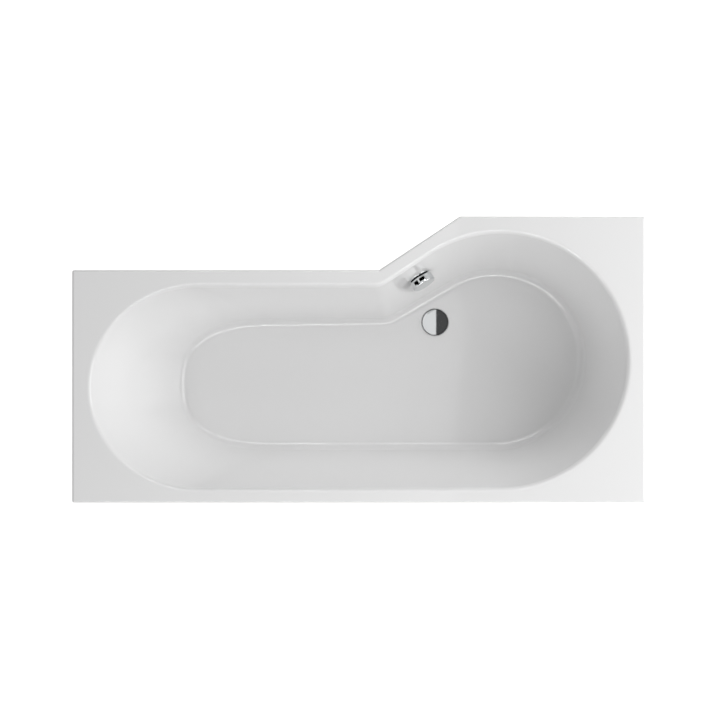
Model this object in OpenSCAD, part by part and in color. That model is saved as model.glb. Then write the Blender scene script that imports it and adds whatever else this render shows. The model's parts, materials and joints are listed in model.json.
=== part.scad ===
// P shaped shower bath: a vacuum-formed acrylic shell backed with glass fibre, on a steel
// cradle with five screw feet, with a rotary overflow, a pop-up waste and a trap.
// Millimetres. The bath stands on z = 0, +Z is up, +X is the shower end, -Y is the wall side.

/* [Bath] */
// Overall length
bath_len = 1600; // [1560:10:1700]
// Overall width at the shower end
bath_w = 800; // [780:5:850]
// How far the wide front stands out past the narrow front
front_step = 150; // [130:5:170]
// Height of the rim above the floor
rim_z = 560; // [550:5:600]
// Depth of the bowl from the rim to the waste
bowl_depth = 400; // [380:5:405]
// Angle of the diagonal front to the bath's length
diag_angle = 33.57; // [31:0.5:36]
// Height of the turned-down lip
lip_h = 38; // [30:1:45]
// Plan radius of the rim corners
corner_r = 6; // [3:1:12]
// Radius between the deck and the lip
edge_r = 6; // [4:1:9]

/* [Bowl] */
// Deck width on the wall side
deck_wall = 40; // [38:1:50]
// Deck width along the wide front
deck_wide = 46; // [40:1:55]
// Deck width along the narrow front
deck_narrow = 46; // [40:1:55]
// Deck width along the diagonal front
deck_diag = 40.7; // [38:0.5:46]
// Deck width at the shower end
deck_foot = 48; // [42:1:60]
// Deck width at the backrest end
deck_head = 50; // [42:1:60]
// Length of the half oval at the backrest end
head_oval = 300; // [270:5:330]
// Radius of the roll between deck and bowl
roll_r = 16; // [13:1:18]
// Plan radius of the bowl's inward corner at the deck
concave_r = 65; // [50:5:90]

/* [Floor] */
// How far the floor's round end lies inside the bowl's edge
floor_in = 101; // [92:1:112]
// How far the round end of the floor is set forward of the bowl's
floor_ahead = 3; // [-3:1:9]
// Angle of the diagonal side of the floor
floor_diag = 30; // [28:1:32]
// Distance from the narrow front to the floor's edge, at its inward corner
floor_back = 132; // [126:1:140]
// Distance from the backrest end to where the floor starts to round
floor_head_in = 574; // [550:2:600]
// Length of the rounded backrest end of the floor
floor_oval = 283; // [265:1:295]
// How square the backrest end of the floor is, 2 is an oval
floor_square = 2.6; // [2.2:0.1:3]
// How far the narrow front side of the floor runs in towards the backrest
floor_taper = 5; // [0:1:10]
// Plan radius of the floor's inward corner
floor_concave_r = 75; // [55:5:90]
// Radius between the floor and the walls
fillet_r = 28; // [22:1:34]
// Rise of the floor for each millimetre away from the waste
fall = 0.008; // [0.004:0.001:0.012]

/* [Sheets and board] */
// Thickness of the acrylic
acrylic_t = 4; // [3:0.5:5]
// Thickness of the glass-fibre backing
grp_t = 3.5; // [2.5:0.5:4.5]
// Thickness of the base board
board_t = 18; // [15:1:20]
// How far the base board stays inside the floor's edge
board_inset = 28; // [24:1:34]
// Height of the rim battens
batten_h = 18; // [12:1:22]

/* [Cradle and feet] */
// Distance of the first rail from the backrest end
rail_head_in = 470; // [440:5:510]
// Distance of the second rail from the shower end
rail_foot_in = 370; // [340:5:400]
// Width of a rail
rail_w = 35; // [30:1:40]
// Height of a rail
rail_h = 30; // [25:1:34]
// Thickness of the rail's steel
rail_t = 2.5; // [2:0.5:3]
// X of the centre foot
centre_x = 40; // [20:5:70]
// Y of the centre foot
centre_y = -70; // [-90:5:-50]
// Radius of the threaded leg studs
stud_r = 5; // [4:0.5:6]
// Radius of a foot pad
pad_r = 24; // [20:1:28]
// Distance of the leg studs outside the floor's edge
leg_out = 36; // [32:1:42]

/* [Waste] */
// Distance of the waste from the shower end
waste_in = 579; // [565:1:595]
// Distance of the waste from the wide front
waste_back = 292; // [285:1:305]
// Radius of the chrome waste flange
flange_r = 38; // [35:1:40]
// Radius of the pop-up plug cover
cover_r = 36.5; // [33:0.5:38]
// Radius of the hole for the waste
waste_hole_r = 27; // [26.5:0.5:28]
// Depth of the pressed seat round the waste
seat_depth = 4; // [3:0.5:5]
// Radius of the waste pipe that the trap takes
outlet_r = 20; // [19:0.5:21]
// Radius of the U bend of the trap
trap_bend = 30; // [28:1:32]

/* [Overflow] */
// Depth of the overflow's centre below the rim
overflow_drop = 150; // [140:5:170]
// Place of the overflow along the diagonal side, 0 is its shower end
overflow_share = 0.38; // [0.3:0.02:0.46]
// Radius of the knob
knob_r = 34; // [30:1:36]
// Thickness of the knob
knob_t = 21; // [18:1:24]
// Gap between the knob and the wall
knob_gap = 8; // [7:0.5:10]
// Radius of the overflow hole
overflow_hole_r = 26; // [25.5:0.5:27]
// Radius of the overflow pipe
pipe_r = 16; // [15:0.5:17]

/* [Hidden] */
$fn = 64;
joint_gap = 0.1;      // radial play of a shaft, thread or pipe in its hole
lip_gap = 2;          // between the lip and what lies behind it
delta = 0.9;          // half the angle that a rim corner takes up on the bowl

// ---- small functions ----
function lerp(a, b, t) = a + (b - a) * t;
function unit(v) = v / norm(v);
function turn(v, a) = [v.x * cos(a) - v.y * sin(a), v.x * sin(a) + v.y * cos(a)];
function closed(a, b, n) = [for (i = [0 : n]) lerp(a, b, i / n)];
function open_end(a, b, n) = [for (i = [0 : n - 1]) lerp(a, b, i / n)];
function signed_pow(v, p) = sign(v) * pow(abs(v), p);
function oval_at(c, rx, ry, e, a) =
    [c.x + rx * signed_pow(cos(a), 2 / e), c.y + ry * signed_pow(sin(a), 2 / e)];
function oval(c, rx, ry, e, angles) = [for (a = angles) oval_at(c, rx, ry, e, a)];

// ---- plan of the rim ----
head_x = -bath_len / 2;
foot_x = bath_len / 2;
wall_y = -bath_w / 2;
wide_y = bath_w / 2;
narrow_y = wide_y - front_step;
diag_dir = [cos(diag_angle), sin(diag_angle)];
diag_out = turn(diag_dir, 90);

// ---- plan of the bowl's edge at the rim ----
bowl_r = (bath_w - deck_wall - deck_wide) / 2;
bowl_c = [foot_x - deck_foot - bowl_r, wall_y + deck_wall + bowl_r];
bowl_narrow = narrow_y - deck_narrow;
bowl_wall = wall_y + deck_wall;
head_c = [head_x + deck_head + head_oval, (bowl_narrow + bowl_wall) / 2];
head_ry = (bowl_narrow - bowl_wall) / 2;
diag_reach = bowl_r + deck_diag;
// X on the diagonal front, set in by d, at a given Y
function diag_x(y, d) = bowl_c.x + (diag_out.y * (y - bowl_c.y) - (diag_reach - d)) / -diag_out.x;
diag_from = diag_x(narrow_y, 0);
diag_to = diag_x(wide_y, 0);
diag_tangent = bowl_c + bowl_r * diag_out;
bowl_corner = [bowl_c.x + (diag_out.y * (bowl_narrow - bowl_c.y) - bowl_r) / -diag_out.x, bowl_narrow];

// ---- plan of the floor's edge ----
floor_r = bowl_r - floor_in;
floor_c = [bowl_c.x, bowl_c.y + floor_ahead];
floor_narrow = narrow_y - floor_back;
floor_out = turn([cos(floor_diag), sin(floor_diag)], 90);
floor_tangent = floor_c + floor_r * floor_out;
floor_corner = [floor_c.x + (floor_out.y * (floor_narrow - floor_c.y) - floor_r) / -floor_out.x,
                floor_narrow];
floor_top = floor_narrow - floor_taper;
floor_low = floor_c.y - floor_r;
floor_head = head_x + floor_head_in;
floor_head_c = [floor_head, (floor_top + floor_low) / 2];
floor_head_ry = (floor_top - floor_low) / 2;

// An inward corner at k, between directions u and v, rounded with radius r
function corner_turn(u, v) = 180 - acos(u * v);
function corner_run(u, v, r) = r * tan(corner_turn(u, v) / 2);
function corner_mid(k, u, v, r) = k + unit(u + v) * r / cos(corner_turn(u, v) / 2);
function corner_angle(m, p) = atan2(p.y - m.y, p.x - m.x);
function corner_arc(k, u, v, r, n) =
    let (m = corner_mid(k, u, v, r), run = corner_run(u, v, r))
    let (a = corner_angle(m, k + u * run), b = corner_angle(m, k + v * run))
    [for (i = [0 : n - 1]) m + r * [cos(lerp(a, b, i / n)), sin(lerp(a, b, i / n))]];

// Directions along the bowl and floor where the rim's corners lie
wall_corner_a = atan2(wall_y - bowl_c.y, foot_x - bowl_c.x);
wide_corner_a = atan2(wide_y - bowl_c.y, foot_x - bowl_c.x);
diag_corner_a = atan2(wide_y - bowl_c.y, diag_to - bowl_c.x);
head_top_a = atan2((narrow_y - head_c.y) / head_ry, (head_x - head_c.x) / head_oval);
head_low_a = 360 + atan2((wall_y - head_c.y) / head_ry, (head_x - head_c.x) / head_oval);

// One ring of stations: wall side, round end, diagonal, inward corner, narrow side, backrest end
function edge_ring(c, r, diag_a, tangent, k, k_r, hc, rx, ry, e) =
    let (u = unit(tangent - k), v = unit([hc.x, hc.y + ry] - k))
    let (low = hc + [0, -ry], run = corner_run(u, v, k_r))
    concat(
        open_end(low, c + [0, -r], 4),
        oval(c, r, r, 2, closed(-90, wall_corner_a - delta, 6)),
        oval(c, r, r, 2, [wall_corner_a]),
        oval(c, r, r, 2, closed(wall_corner_a + delta, wide_corner_a - delta, 12)),
        oval(c, r, r, 2, [wide_corner_a]),
        oval(c, r, r, 2, open_end(wide_corner_a + delta, diag_corner_a, 8)),
        oval(c, r, r, 2, open_end(diag_corner_a, 90 + diag_a, 3)),
        open_end(tangent, k + u * run, 3),
        corner_arc(k, u, v, k_r, 4),
        open_end(k + v * run, [hc.x, hc.y + ry], 5),
        oval(hc, rx, ry, e, closed(90, head_top_a - delta, 6)),
        oval(hc, rx, ry, e, [head_top_a]),
        oval(hc, rx, ry, e, closed(head_top_a + delta, head_low_a - delta, 12)),
        oval(hc, rx, ry, e, [head_low_a]),
        oval(hc, rx, ry, e, open_end(head_low_a + delta, 270, 6))
    );
bowl_ring = edge_ring(bowl_c, bowl_r, diag_angle, diag_tangent, bowl_corner, concave_r,
                      head_c, head_oval, head_ry, 2);
floor_ring = edge_ring(floor_c, floor_r, floor_diag, floor_tangent, floor_corner, floor_concave_r,
                       floor_head_c, floor_oval, floor_head_ry, floor_square);

function corner_cut(d) = max(corner_r - d, 0.6);
function corner_in(d) = corner_cut(d) * (1 - cos(45));
corner_spread = 12;   // half the stretch of rim that the inward corner takes

// The rim's outline set in by d, with the same stations
function rim_ring(d) =
    let (x0 = head_x + d, x1 = foot_x - d, y0 = wall_y + d, y1 = wide_y - d, y2 = narrow_y - d)
    let (c = corner_cut(d), s = corner_in(d), k = [diag_x(y2, d), y2])
    concat(
        open_end([head_c.x, y0], [bowl_c.x, y0], 4),
        closed([bowl_c.x, y0], [x1 - c, y0], 6),
        [[x1 - s, y0 + s]],
        closed([x1, y0 + c], [x1, y1 - c], 12),
        [[x1 - s, y1 - s]],
        open_end([x1 - c, y1], [diag_x(y1, d), y1], 8),
        open_end([diag_x(y1, d), y1], bowl_c + diag_out * (diag_reach - d), 3),
        open_end(bowl_c + diag_out * (diag_reach - d), k + diag_dir * corner_spread, 3),
        open_end(k + diag_dir * corner_spread, k, 2),
        open_end(k, k - [corner_spread, 0], 2),
        open_end(k - [corner_spread, 0], [head_c.x, y2], 5),
        closed([head_c.x, y2], [x0 + c, y2], 6),
        [[x0 + s, y2 - s]],
        closed([x0, y2 - c], [x0, y0 + c], 12),
        [[x0 + s, y0 + s]],
        open_end([x0 + c, y0], [head_c.x, y0], 6)
    );

// ---- sections through the bowl ----
stations = len(bowl_ring);
function inward(ring) =
    let (n = len(ring))
    [for (i = [0 : n - 1])
        let (a = unit(ring[(i + 1) % n] - ring[i]), b = unit(ring[i] - ring[(i + n - 1) % n]))
        turn(unit(a + b), 90)];
bowl_inward = inward(bowl_ring);
floor_inward = inward(floor_ring);
waste_z = rim_z - bowl_depth;
waste_x = foot_x - waste_in;
waste_y = wide_y - waste_back;
waste_c = [waste_x, waste_y];
fall_c = [waste_x, waste_y - flange_r];        // lowest point, inside the pressed seat
floor_z = [for (p = floor_ring) waste_z + fall * norm(p - fall_c)];
wall_run = floor_ring - bowl_ring;
roll_a = [for (i = [0 : stations - 1]) atan2(rim_z - floor_z[i], wall_run[i] * bowl_inward[i])];
fillet_a = [for (i = [0 : stations - 1]) atan2(rim_z - floor_z[i], wall_run[i] * floor_inward[i])];
roll_steps = 4;
fillet_steps = 5;
grp_z = waste_z - acrylic_t - grp_t;
grp_inset = acrylic_t + lip_gap;

function level(ring, z) = [for (p = ring) [p.x, p.y, z]];
// Step j of the roll, on the surface that lies t behind the bowl's face
function roll(t, j) = [for (i = [0 : stations - 1])
    let (a = 90 - roll_a[i] * j / roll_steps)
    let (p = bowl_ring[i] + bowl_inward[i] * ((roll_r - t) * cos(a) - roll_r * tan(roll_a[i] / 2)))
    [p.x, p.y, rim_z - roll_r + (roll_r - t) * sin(a)]];
// Step j of the fillet, t behind the bowl's face, running out on a floor at height z
function fillet(t, z, j) = [for (i = [0 : stations - 1])
    let (w = fillet_a[i], r = fillet_r + t, dz = z[i] - floor_z[i])
    let (s = -t * sin(w) - (dz + t * cos(w)) * cos(w) / sin(w) + r * tan(w / 2))
    let (a = 270 - w * (1 - j / fillet_steps))
    let (p = floor_ring[i] + floor_inward[i] * (s + r * cos(a)))
    [p.x, p.y, z[i] + r + r * sin(a)]];
function rolls(t) = [for (j = [0 : roll_steps]) roll(t, j)];
function fillets(t, z) = [for (j = [0 : fillet_steps]) fillet(t, z, j)];
function backwards(list) = [for (i = [len(list) - 1 : -1 : 0]) list[i]];

// A closed skin through rings of stations, closed by one tip above and one below
module skin(upper, upper_tip, lower, lower_tip) {
    n = len(upper[0]);
    rings = concat(upper, lower);
    m = len(rings);
    last = len(upper) - 1;
    strips = [for (r = [0 : m - 1]) if (r != last) for (i = [0 : n - 1])
        let (s = (r + 1) % m, j = (i + 1) % n)
        each r < last
            ? [[r * n + i, s * n + i, s * n + j], [r * n + i, s * n + j, r * n + j]]
            : [[r * n + i, s * n + i, r * n + j], [s * n + i, s * n + j, r * n + j]]];
    fans = [for (i = [0 : n - 1]) let (j = (i + 1) % n)
        each [[last * n + i, m * n, last * n + j],
              [m * n + 1, (last + 1) * n + i, (last + 1) * n + j]]];
    points = concat([for (ring = rings) for (p = ring) p], [upper_tip, lower_tip]);
    polyhedron(points = points, faces = concat(strips, fans), convexity = 12);
}

// ---- the overflow's place on the diagonal wall ----
diag_start = [diag_tangent, floor_tangent];
function diag_finish(k, t, far, r) =
    let (u = unit(t - k), v = unit(far - k)) k + u * corner_run(u, v, r);
diag_end = [diag_finish(bowl_corner, diag_tangent, head_c + [0, head_ry], concave_r),
            diag_finish(floor_corner, floor_tangent, floor_head_c + [0, floor_head_ry], floor_concave_r)];
overflow_b = lerp(diag_start[0], diag_end[0], overflow_share);
overflow_f = lerp(diag_start[1], diag_end[1], overflow_share);
overflow_depth = rim_z - waste_z - fall * norm(overflow_f - fall_c);
overflow_s = overflow_drop / overflow_depth;
overflow_xy = lerp(overflow_b, overflow_f, overflow_s);
overflow_p = [overflow_xy.x, overflow_xy.y, rim_z - overflow_drop];
overflow_along = lerp(diag_end[0] - diag_start[0], diag_end[1] - diag_start[1], overflow_s);
overflow_rule = overflow_f - overflow_b;
overflow_n = unit(cross([overflow_along.x, overflow_along.y, 0],
                        [overflow_rule.x, overflow_rule.y, -overflow_depth]));
module at_overflow() {
    translate(overflow_p)
        rotate([0, 90 - asin(overflow_n.z), atan2(overflow_n.y, overflow_n.x)])
            children();
}

// ---- stack of the overflow, along its axis from the wall's face ----
spot_depth = 0.8;                                   // flat cut into the wall for the ring
ring_t = 3;
ring_r = knob_r - 2;
seal_t = 3;
overflow_back = -(acrylic_t + grp_t + 1.5);         // flat boss behind the wall
body_face = overflow_back - seal_t;
body_flange_t = 4;
body_len = 44;
spigot_r = overflow_hole_r - 1.5;
spigot_len = 26;
barrel_r = spigot_r + 3.5;
spindle_r = 4;
drop_z = -38;                                       // where the pipe's axis meets the barrel's
drop_p = overflow_p + overflow_n * drop_z;
drop_xy = [drop_p.x, drop_p.y];
drop_len = 46;
socket_r = pipe_r + 3.5;
socket_len = 20;
pipe_bore = pipe_r - 2.2;
nut_grow = 4.5;
nut_h = 16;
nut_lip = 4;
squeeze_t = 3;                                      // ring seal between a nut's lip and its socket
nut_reach = nut_lip + squeeze_t;                    // from a socket's end to the nut's outer face

// ---- stack of the waste, downwards from the bath's floor ----
boss_r = flange_r + 8;
seat_z = waste_z - seat_depth;
boss_z = seat_z - acrylic_t;
top_seal_t = 1;
flange_t = 2.5;
low_seal_t = 3;
body_z = boss_z - low_seal_t;
waste_body_r = waste_hole_r + 3;
waste_bore_r = waste_hole_r - 0.9;
tail_r = waste_bore_r - joint_gap;                  // threaded tail of the flange
hub_r = 7;
lever_z = waste_z - 34.8;
lever_t = 3;
lever_arm = 20;
branch_z = waste_z - 38;
neck_top = waste_z - 58;
neck_z = neck_top - 18;
neck_r = 23.5;
neck_bore = 19.5;
branch_dir = unit(drop_xy - waste_c);
branch_a = atan2(branch_dir.y, branch_dir.x);
branch_reach = norm(drop_xy - waste_c);
branch_len = 95;
bend_r = 30;
cable_side = branch_a + 90;                         // side of the waste where the cable goes in
cable_z = waste_z - 50;
gland_len = 14;
sheath_r = 2.5;
lift = 12;

// ---- trap ----
trap_r = 21;
trap_bore = 18.5;
washer_t = 1.5;
trap_top = neck_z - washer_t;
collar_t = 3;
trap_z = trap_top - 14;                             // centre of the U bend
elbow_r = 26;
outlet_z = trap_z + 36;
trap_far = waste_y - 2 * trap_bend;
elbow_y = trap_far - elbow_r;

// ---- cradle ----
board_z = grp_z - board_t;
web_z = board_z - rail_t;
rail_head = head_x + rail_head_in;
rail_foot = foot_x - rail_foot_in;
leg_nut_h = 8;
stud_above = 16;
pad_h = 22;
pad_socket = 6;
head_dx = max(floor_head - rail_head, 0) / floor_oval;
head_half = floor_head_ry * pow(1 - pow(head_dx, floor_square), 1 / floor_square);
foot_half = sqrt(floor_r * floor_r - pow(rail_foot - floor_c.x, 2));
legs = [
    [rail_head, floor_head_c.y - head_half - leg_out],
    [rail_head, floor_head_c.y + head_half + leg_out],
    [rail_foot, floor_c.y - foot_half - leg_out],
    [rail_foot, floor_c.y + foot_half + leg_out],
    [centre_x, centre_y],
];
rail_past = 22;       // rail beyond a stud
bracket_w = 40;
bracket_len = 100;
bracket_foot = 24;
screw_r = 2.2;
screw_head_r = 4.5;
screw_in = 13;
cradle_screw_at = concat(
    [for (s = [-1, 1]) [rail_head, floor_head_c.y + s * 0.6 * (head_half - board_inset)]],
    [for (s = [-1, 1]) [rail_foot, floor_c.y + s * 0.6 * (foot_half - board_inset)]],
    [for (s = [-1, 1]) for (v = [-1, 1])
        [centre_x + v * 10, centre_y + s * (bracket_len - bracket_foot) / 2]]
);

// ---- battens and wall brackets ----
batten_in = grp_inset + 0.5;
batten_w = min(deck_wall, deck_narrow, deck_diag, deck_wide, deck_foot, deck_head)
           - batten_in - 0.85 * roll_r;
batten_top = rim_z - acrylic_t - grp_t;
batten_low = batten_top - batten_h;
batten_gap = 3;
clip_w = 44;
clip_t = 2;
clip_hole_r = 3;
clip_drop = 46;
clip_x = [head_c.x - 50, bowl_c.x + 55];
lip_z = rim_z - lip_h;

/* ---------------- shell, backing and board ---------------- */

module acrylic_shell() {
    face = concat(
        [level(rim_ring(0), lip_z),
         level(rim_ring(0), rim_z - edge_r),
         level(rim_ring(edge_r * (1 - cos(45))), rim_z - edge_r * (1 - sin(45))),
         level(rim_ring(edge_r), rim_z)],
        rolls(0), fillets(0, floor_z));
    under_z = [for (z = floor_z) z - acrylic_t];
    back = concat(
        backwards(fillets(acrylic_t, under_z)), backwards(rolls(acrylic_t)),
        [level(rim_ring(acrylic_t), rim_z - acrylic_t), level(rim_ring(acrylic_t), lip_z)]);
    color([0.93, 0.94, 0.94]) difference() {
        union() {
            skin(face, [fall_c.x, fall_c.y, waste_z], back, [fall_c.x, fall_c.y, waste_z - acrylic_t]);
            translate([waste_x, waste_y, boss_z]) cylinder(r = boss_r, h = seat_depth + 1);
        }
        translate([waste_x, waste_y, seat_z]) cylinder(r = flange_r + 0.6, h = seat_depth + 5);
        translate([waste_x, waste_y, boss_z - 1]) cylinder(r = waste_hole_r, h = acrylic_t + 2);
        at_overflow() {
            translate([0, 0, -spot_depth]) cylinder(r = ring_r + 1, h = 12);
            translate([0, 0, -12]) cylinder(r = overflow_hole_r, h = 24);
        }
    }
}

module fibreglass_backing() {
    t = acrylic_t + grp_t;
    top_z = [for (z = floor_z) z - acrylic_t];
    flat_z = [for (z = floor_z) grp_z];
    face = concat([level(rim_ring(grp_inset), rim_z - acrylic_t)],
                  rolls(acrylic_t), fillets(acrylic_t, top_z));
    back = concat(backwards(fillets(t, flat_z)), backwards(rolls(t)),
                  [level(rim_ring(grp_inset), rim_z - t)]);
    color([0.78, 0.76, 0.64]) difference() {
        union() {
            skin(face, [fall_c.x, fall_c.y, waste_z - acrylic_t], back, [fall_c.x, fall_c.y, grp_z]);
            at_overflow() translate([0, 0, overflow_back]) cylinder(r = 38, h = 2.5);
        }
        translate([waste_x, waste_y, grp_z - 5]) cylinder(r = boss_r + 0.5, h = 30);
        at_overflow() translate([0, 0, overflow_back - 5]) cylinder(r = overflow_hole_r, h = 20);
    }
}

module base_board() {
    edge = [for (i = [0 : stations - 1]) floor_ring[i] + floor_inward[i] * board_inset];
    color([0.72, 0.58, 0.38]) difference() {
        translate([0, 0, board_z]) linear_extrude(board_t) polygon(edge);
        translate([waste_x, waste_y, board_z - 1]) cylinder(r = boss_r + 14, h = board_t + 2);
        translate([waste_x, waste_y, board_z - 1]) rotate([0, 0, branch_a])
            translate([0, -socket_r - 9, 0]) cube([branch_reach + 28, 2 * socket_r + 18, board_t + 2]);
        for (p = cradle_screw_at)
            translate([p.x, p.y, board_z - 1]) cylinder(r = screw_r, h = screw_in - rail_t + 1, $fn = 24);
    }
}

/* ---------------- battens ---------------- */

module batten(x0, y0, x1, y1) {
    color([0.80, 0.66, 0.45]) difference() {
        translate([x0, y0, batten_low]) cube([x1 - x0, y1 - y0, batten_h]);
        clip_screws(0);
    }
}
module batten_wall() {
    batten(head_x + batten_in, wall_y + batten_in, foot_x - batten_in, wall_y + batten_in + batten_w);
}
batten_side = batten_in + batten_w + batten_gap;    // where an end batten stops at a side one
module batten_head() {
    batten(head_x + batten_in, wall_y + batten_side, head_x + batten_in + batten_w, narrow_y - batten_side);
}
module batten_narrow() {
    batten(head_x + batten_in, narrow_y - batten_in - batten_w, diag_from - batten_gap, narrow_y - batten_in);
}
module batten_diagonal() {
    start = [diag_from, narrow_y] - diag_out * (batten_in + batten_w);
    len = norm([diag_to, wide_y] - [diag_from, narrow_y]);
    color([0.80, 0.66, 0.45]) translate([start.x, start.y, batten_low]) rotate([0, 0, diag_angle])
        translate([corner_spread, 0, 0]) cube([len - 2 * corner_spread, batten_w, batten_h]);
}
module batten_wide() {
    batten(diag_to + corner_spread, wide_y - batten_in - batten_w, foot_x - batten_in, wide_y - batten_in);
}
module batten_foot() {
    batten(foot_x - batten_in - batten_w, wall_y + batten_side, foot_x - batten_in, wide_y - batten_side);
}

/* ---------------- cradle, feet and wall brackets ---------------- */

module rail(x, y0, y1, screws) {
    color([0.70, 0.72, 0.74]) difference() {
        translate([x - rail_w / 2, y0, board_z - rail_h]) cube([rail_w, y1 - y0, rail_h]);
        translate([x - rail_w / 2 + rail_t, y0 - 1, board_z - rail_h - 1])
            cube([rail_w - 2 * rail_t, y1 - y0 + 2, rail_h + 1 - rail_t]);
        for (y = [y0 + rail_past, y1 - rail_past])
            translate([x, y, web_z - 1]) cylinder(r = stud_r + joint_gap, h = rail_t + 2, $fn = 32);
        for (p = screws)
            translate([p.x, p.y, web_z - 1]) cylinder(r = screw_r, h = rail_t + 2, $fn = 24);
    }
}
module cradle_rail_head() {
    rail(rail_head, legs[0].y - rail_past, legs[1].y + rail_past, [cradle_screw_at[0], cradle_screw_at[1]]);
}
module cradle_rail_foot() {
    rail(rail_foot, legs[2].y - rail_past, legs[3].y + rail_past, [cradle_screw_at[2], cradle_screw_at[3]]);
}

// Hat-shaped bracket under the board for the centre foot
module centre_foot_bracket() {
    inner = bracket_len - 2 * bracket_foot;
    color([0.70, 0.72, 0.74]) translate([centre_x, centre_y, board_z]) difference() {
        union() {
            for (s = [-1, 1]) {
                translate([-bracket_w / 2, s * (bracket_len - bracket_foot) / 2 - bracket_foot / 2, -rail_t])
                    cube([bracket_w, bracket_foot, rail_t]);
                translate([-bracket_w / 2, s * (inner - rail_t) / 2 - rail_t / 2, -rail_h])
                    cube([bracket_w, rail_t, rail_h]);
            }
            translate([-bracket_w / 2, -inner / 2, -rail_h]) cube([bracket_w, inner, rail_t]);
        }
        translate([0, 0, -rail_h - 1]) cylinder(r = stud_r + joint_gap, h = rail_t + 2, $fn = 32);
        translate([-centre_x, -centre_y, -rail_t - 1]) for (i = [4 : 7])
            translate([cradle_screw_at[i].x, cradle_screw_at[i].y, 0])
                cylinder(r = screw_r, h = rail_t + 2, $fn = 24);
    }
}

module pan_screw(reach) {
    cylinder(r = screw_r, h = reach, $fn = 24);
    translate([0, 0, -3]) cylinder(r1 = screw_head_r - 1, r2 = screw_head_r, h = 3, $fn = 24);
}
module cradle_screws() {
    color([0.78, 0.78, 0.76]) for (p = cradle_screw_at)
        translate([p.x, p.y, web_z]) pan_screw(screw_in);
}

// Studs at the rails stand up past the web, the centre one stops under the board
function web_top(i) = i < 4 ? board_z : board_z - rail_h + rail_t;
function stud_top(i) = i < 4 ? board_z + stud_above : web_top(i) + leg_nut_h + 8;
module leg_stud(i) {
    h = stud_top(i) - pad_socket;
    color([0.75, 0.76, 0.78]) translate([legs[i].x, legs[i].y, pad_socket]) {
        cylinder(r = stud_r, h = h - 1, $fn = 32);
        translate([0, 0, h - 1]) cylinder(r1 = stud_r, r2 = stud_r - 1, h = 1, $fn = 32);
    }
}
module foot_pad(i) {
    neck = stud_r + 4;
    bore = stud_r + joint_gap;
    color([0.13, 0.13, 0.14]) translate([legs[i].x, legs[i].y, 0]) rotate_extrude()
        polygon([[0, 0], [pad_r - 2, 0], [pad_r, 2], [pad_r, 5], [neck + 3, 11], [neck, 15],
                 [neck, pad_h], [bore, pad_h], [bore, pad_socket], [0, pad_socket]]);
}
module leg_stud_head_wall() { leg_stud(0); }
module leg_stud_head_front() { leg_stud(1); }
module leg_stud_foot_wall() { leg_stud(2); }
module leg_stud_foot_front() { leg_stud(3); }
module leg_stud_centre() { leg_stud(4); }
module foot_pad_head_wall() { foot_pad(0); }
module foot_pad_head_front() { foot_pad(1); }
module foot_pad_foot_wall() { foot_pad(2); }
module foot_pad_foot_front() { foot_pad(3); }
module foot_pad_centre() { foot_pad(4); }

module hex_nut() {
    difference() {
        cylinder(r = 1.9 * stud_r, h = leg_nut_h, $fn = 6);
        translate([0, 0, -1]) cylinder(r = stud_r + joint_gap, h = leg_nut_h + 2, $fn = 32);
    }
}
module leg_nuts() {
    color([0.78, 0.78, 0.76]) for (i = [0 : 4]) translate([legs[i].x, legs[i].y, web_top(i)]) {
        hex_nut();
        translate([0, 0, -rail_t - leg_nut_h]) hex_nut();
    }
}

// Stepped clip: screwed up into the wall batten, its lower leg flush with the back of the lip
module wall_bracket(x) {
    inner_y = wall_y + acrylic_t + 0.5;
    step_z = lip_z - 5;
    color([0.72, 0.74, 0.76]) difference() {
        translate([x - clip_w / 2, 0, 0]) {
            translate([0, inner_y, batten_low - clip_t])
                cube([clip_w, batten_in + batten_w - acrylic_t - 0.5, clip_t]);
            translate([0, inner_y, step_z]) cube([clip_w, clip_t, batten_low - step_z]);
            translate([0, wall_y, step_z - clip_t]) cube([clip_w, inner_y + clip_t - wall_y, clip_t]);
            translate([0, wall_y, step_z - clip_drop]) cube([clip_w, clip_t, clip_drop]);
        }
        clip_screws(0);
        for (s = [-1, 1]) translate([x + s * clip_w / 4, wall_y - 1, step_z - clip_drop + 14])
            rotate([-90, 0, 0]) cylinder(r = clip_hole_r, h = clip_t + 2, $fn = 32);
    }
}
module clip_screws(grow) {
    for (x = clip_x) for (s = [-1, 1])
        translate([x + s * clip_w / 4, wall_y + batten_in + batten_w / 2, batten_low - clip_t])
            pan_screw(screw_in + grow);
}
module wall_bracket_head() { wall_bracket(clip_x[0]); }
module wall_bracket_foot() { wall_bracket(clip_x[1]); }
module wall_bracket_screws() { color([0.78, 0.78, 0.76]) clip_screws(0); }

/* ---------------- overflow ---------------- */

// Hollow chrome drum with a boss for the spindle
module overflow_knob() {
    wall = 2.5;
    top = knob_gap + knob_t;
    boss = spindle_r + 3;
    color([0.80, 0.81, 0.83]) at_overflow() rotate_extrude()
        polygon([
            [spindle_r, knob_gap + 2], [boss, knob_gap + 2], [boss, top - wall], [knob_r - wall, top - wall],
            [knob_r - wall, knob_gap], [knob_r, knob_gap],
            for (a = [0 : 15 : 90]) [knob_r - 2 + 2 * cos(a), top - 2 + 2 * sin(a)],
            [0, top], [0, top - wall], [spindle_r, top - wall]]);
}
module knob_spindle() {
    rear = body_face - body_len + 3;
    color([0.62, 0.63, 0.65]) at_overflow() {
        translate([0, 0, rear]) cylinder(r = spindle_r, h = knob_gap + knob_t - 2.5 - rear, $fn = 32);
        translate([0, -3, drop_z - 2]) cube([14, 6, 4]);
        translate([14, 0, drop_z - 2]) cylinder(r = 3, h = 7, $fn = 24);
    }
}
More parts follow.
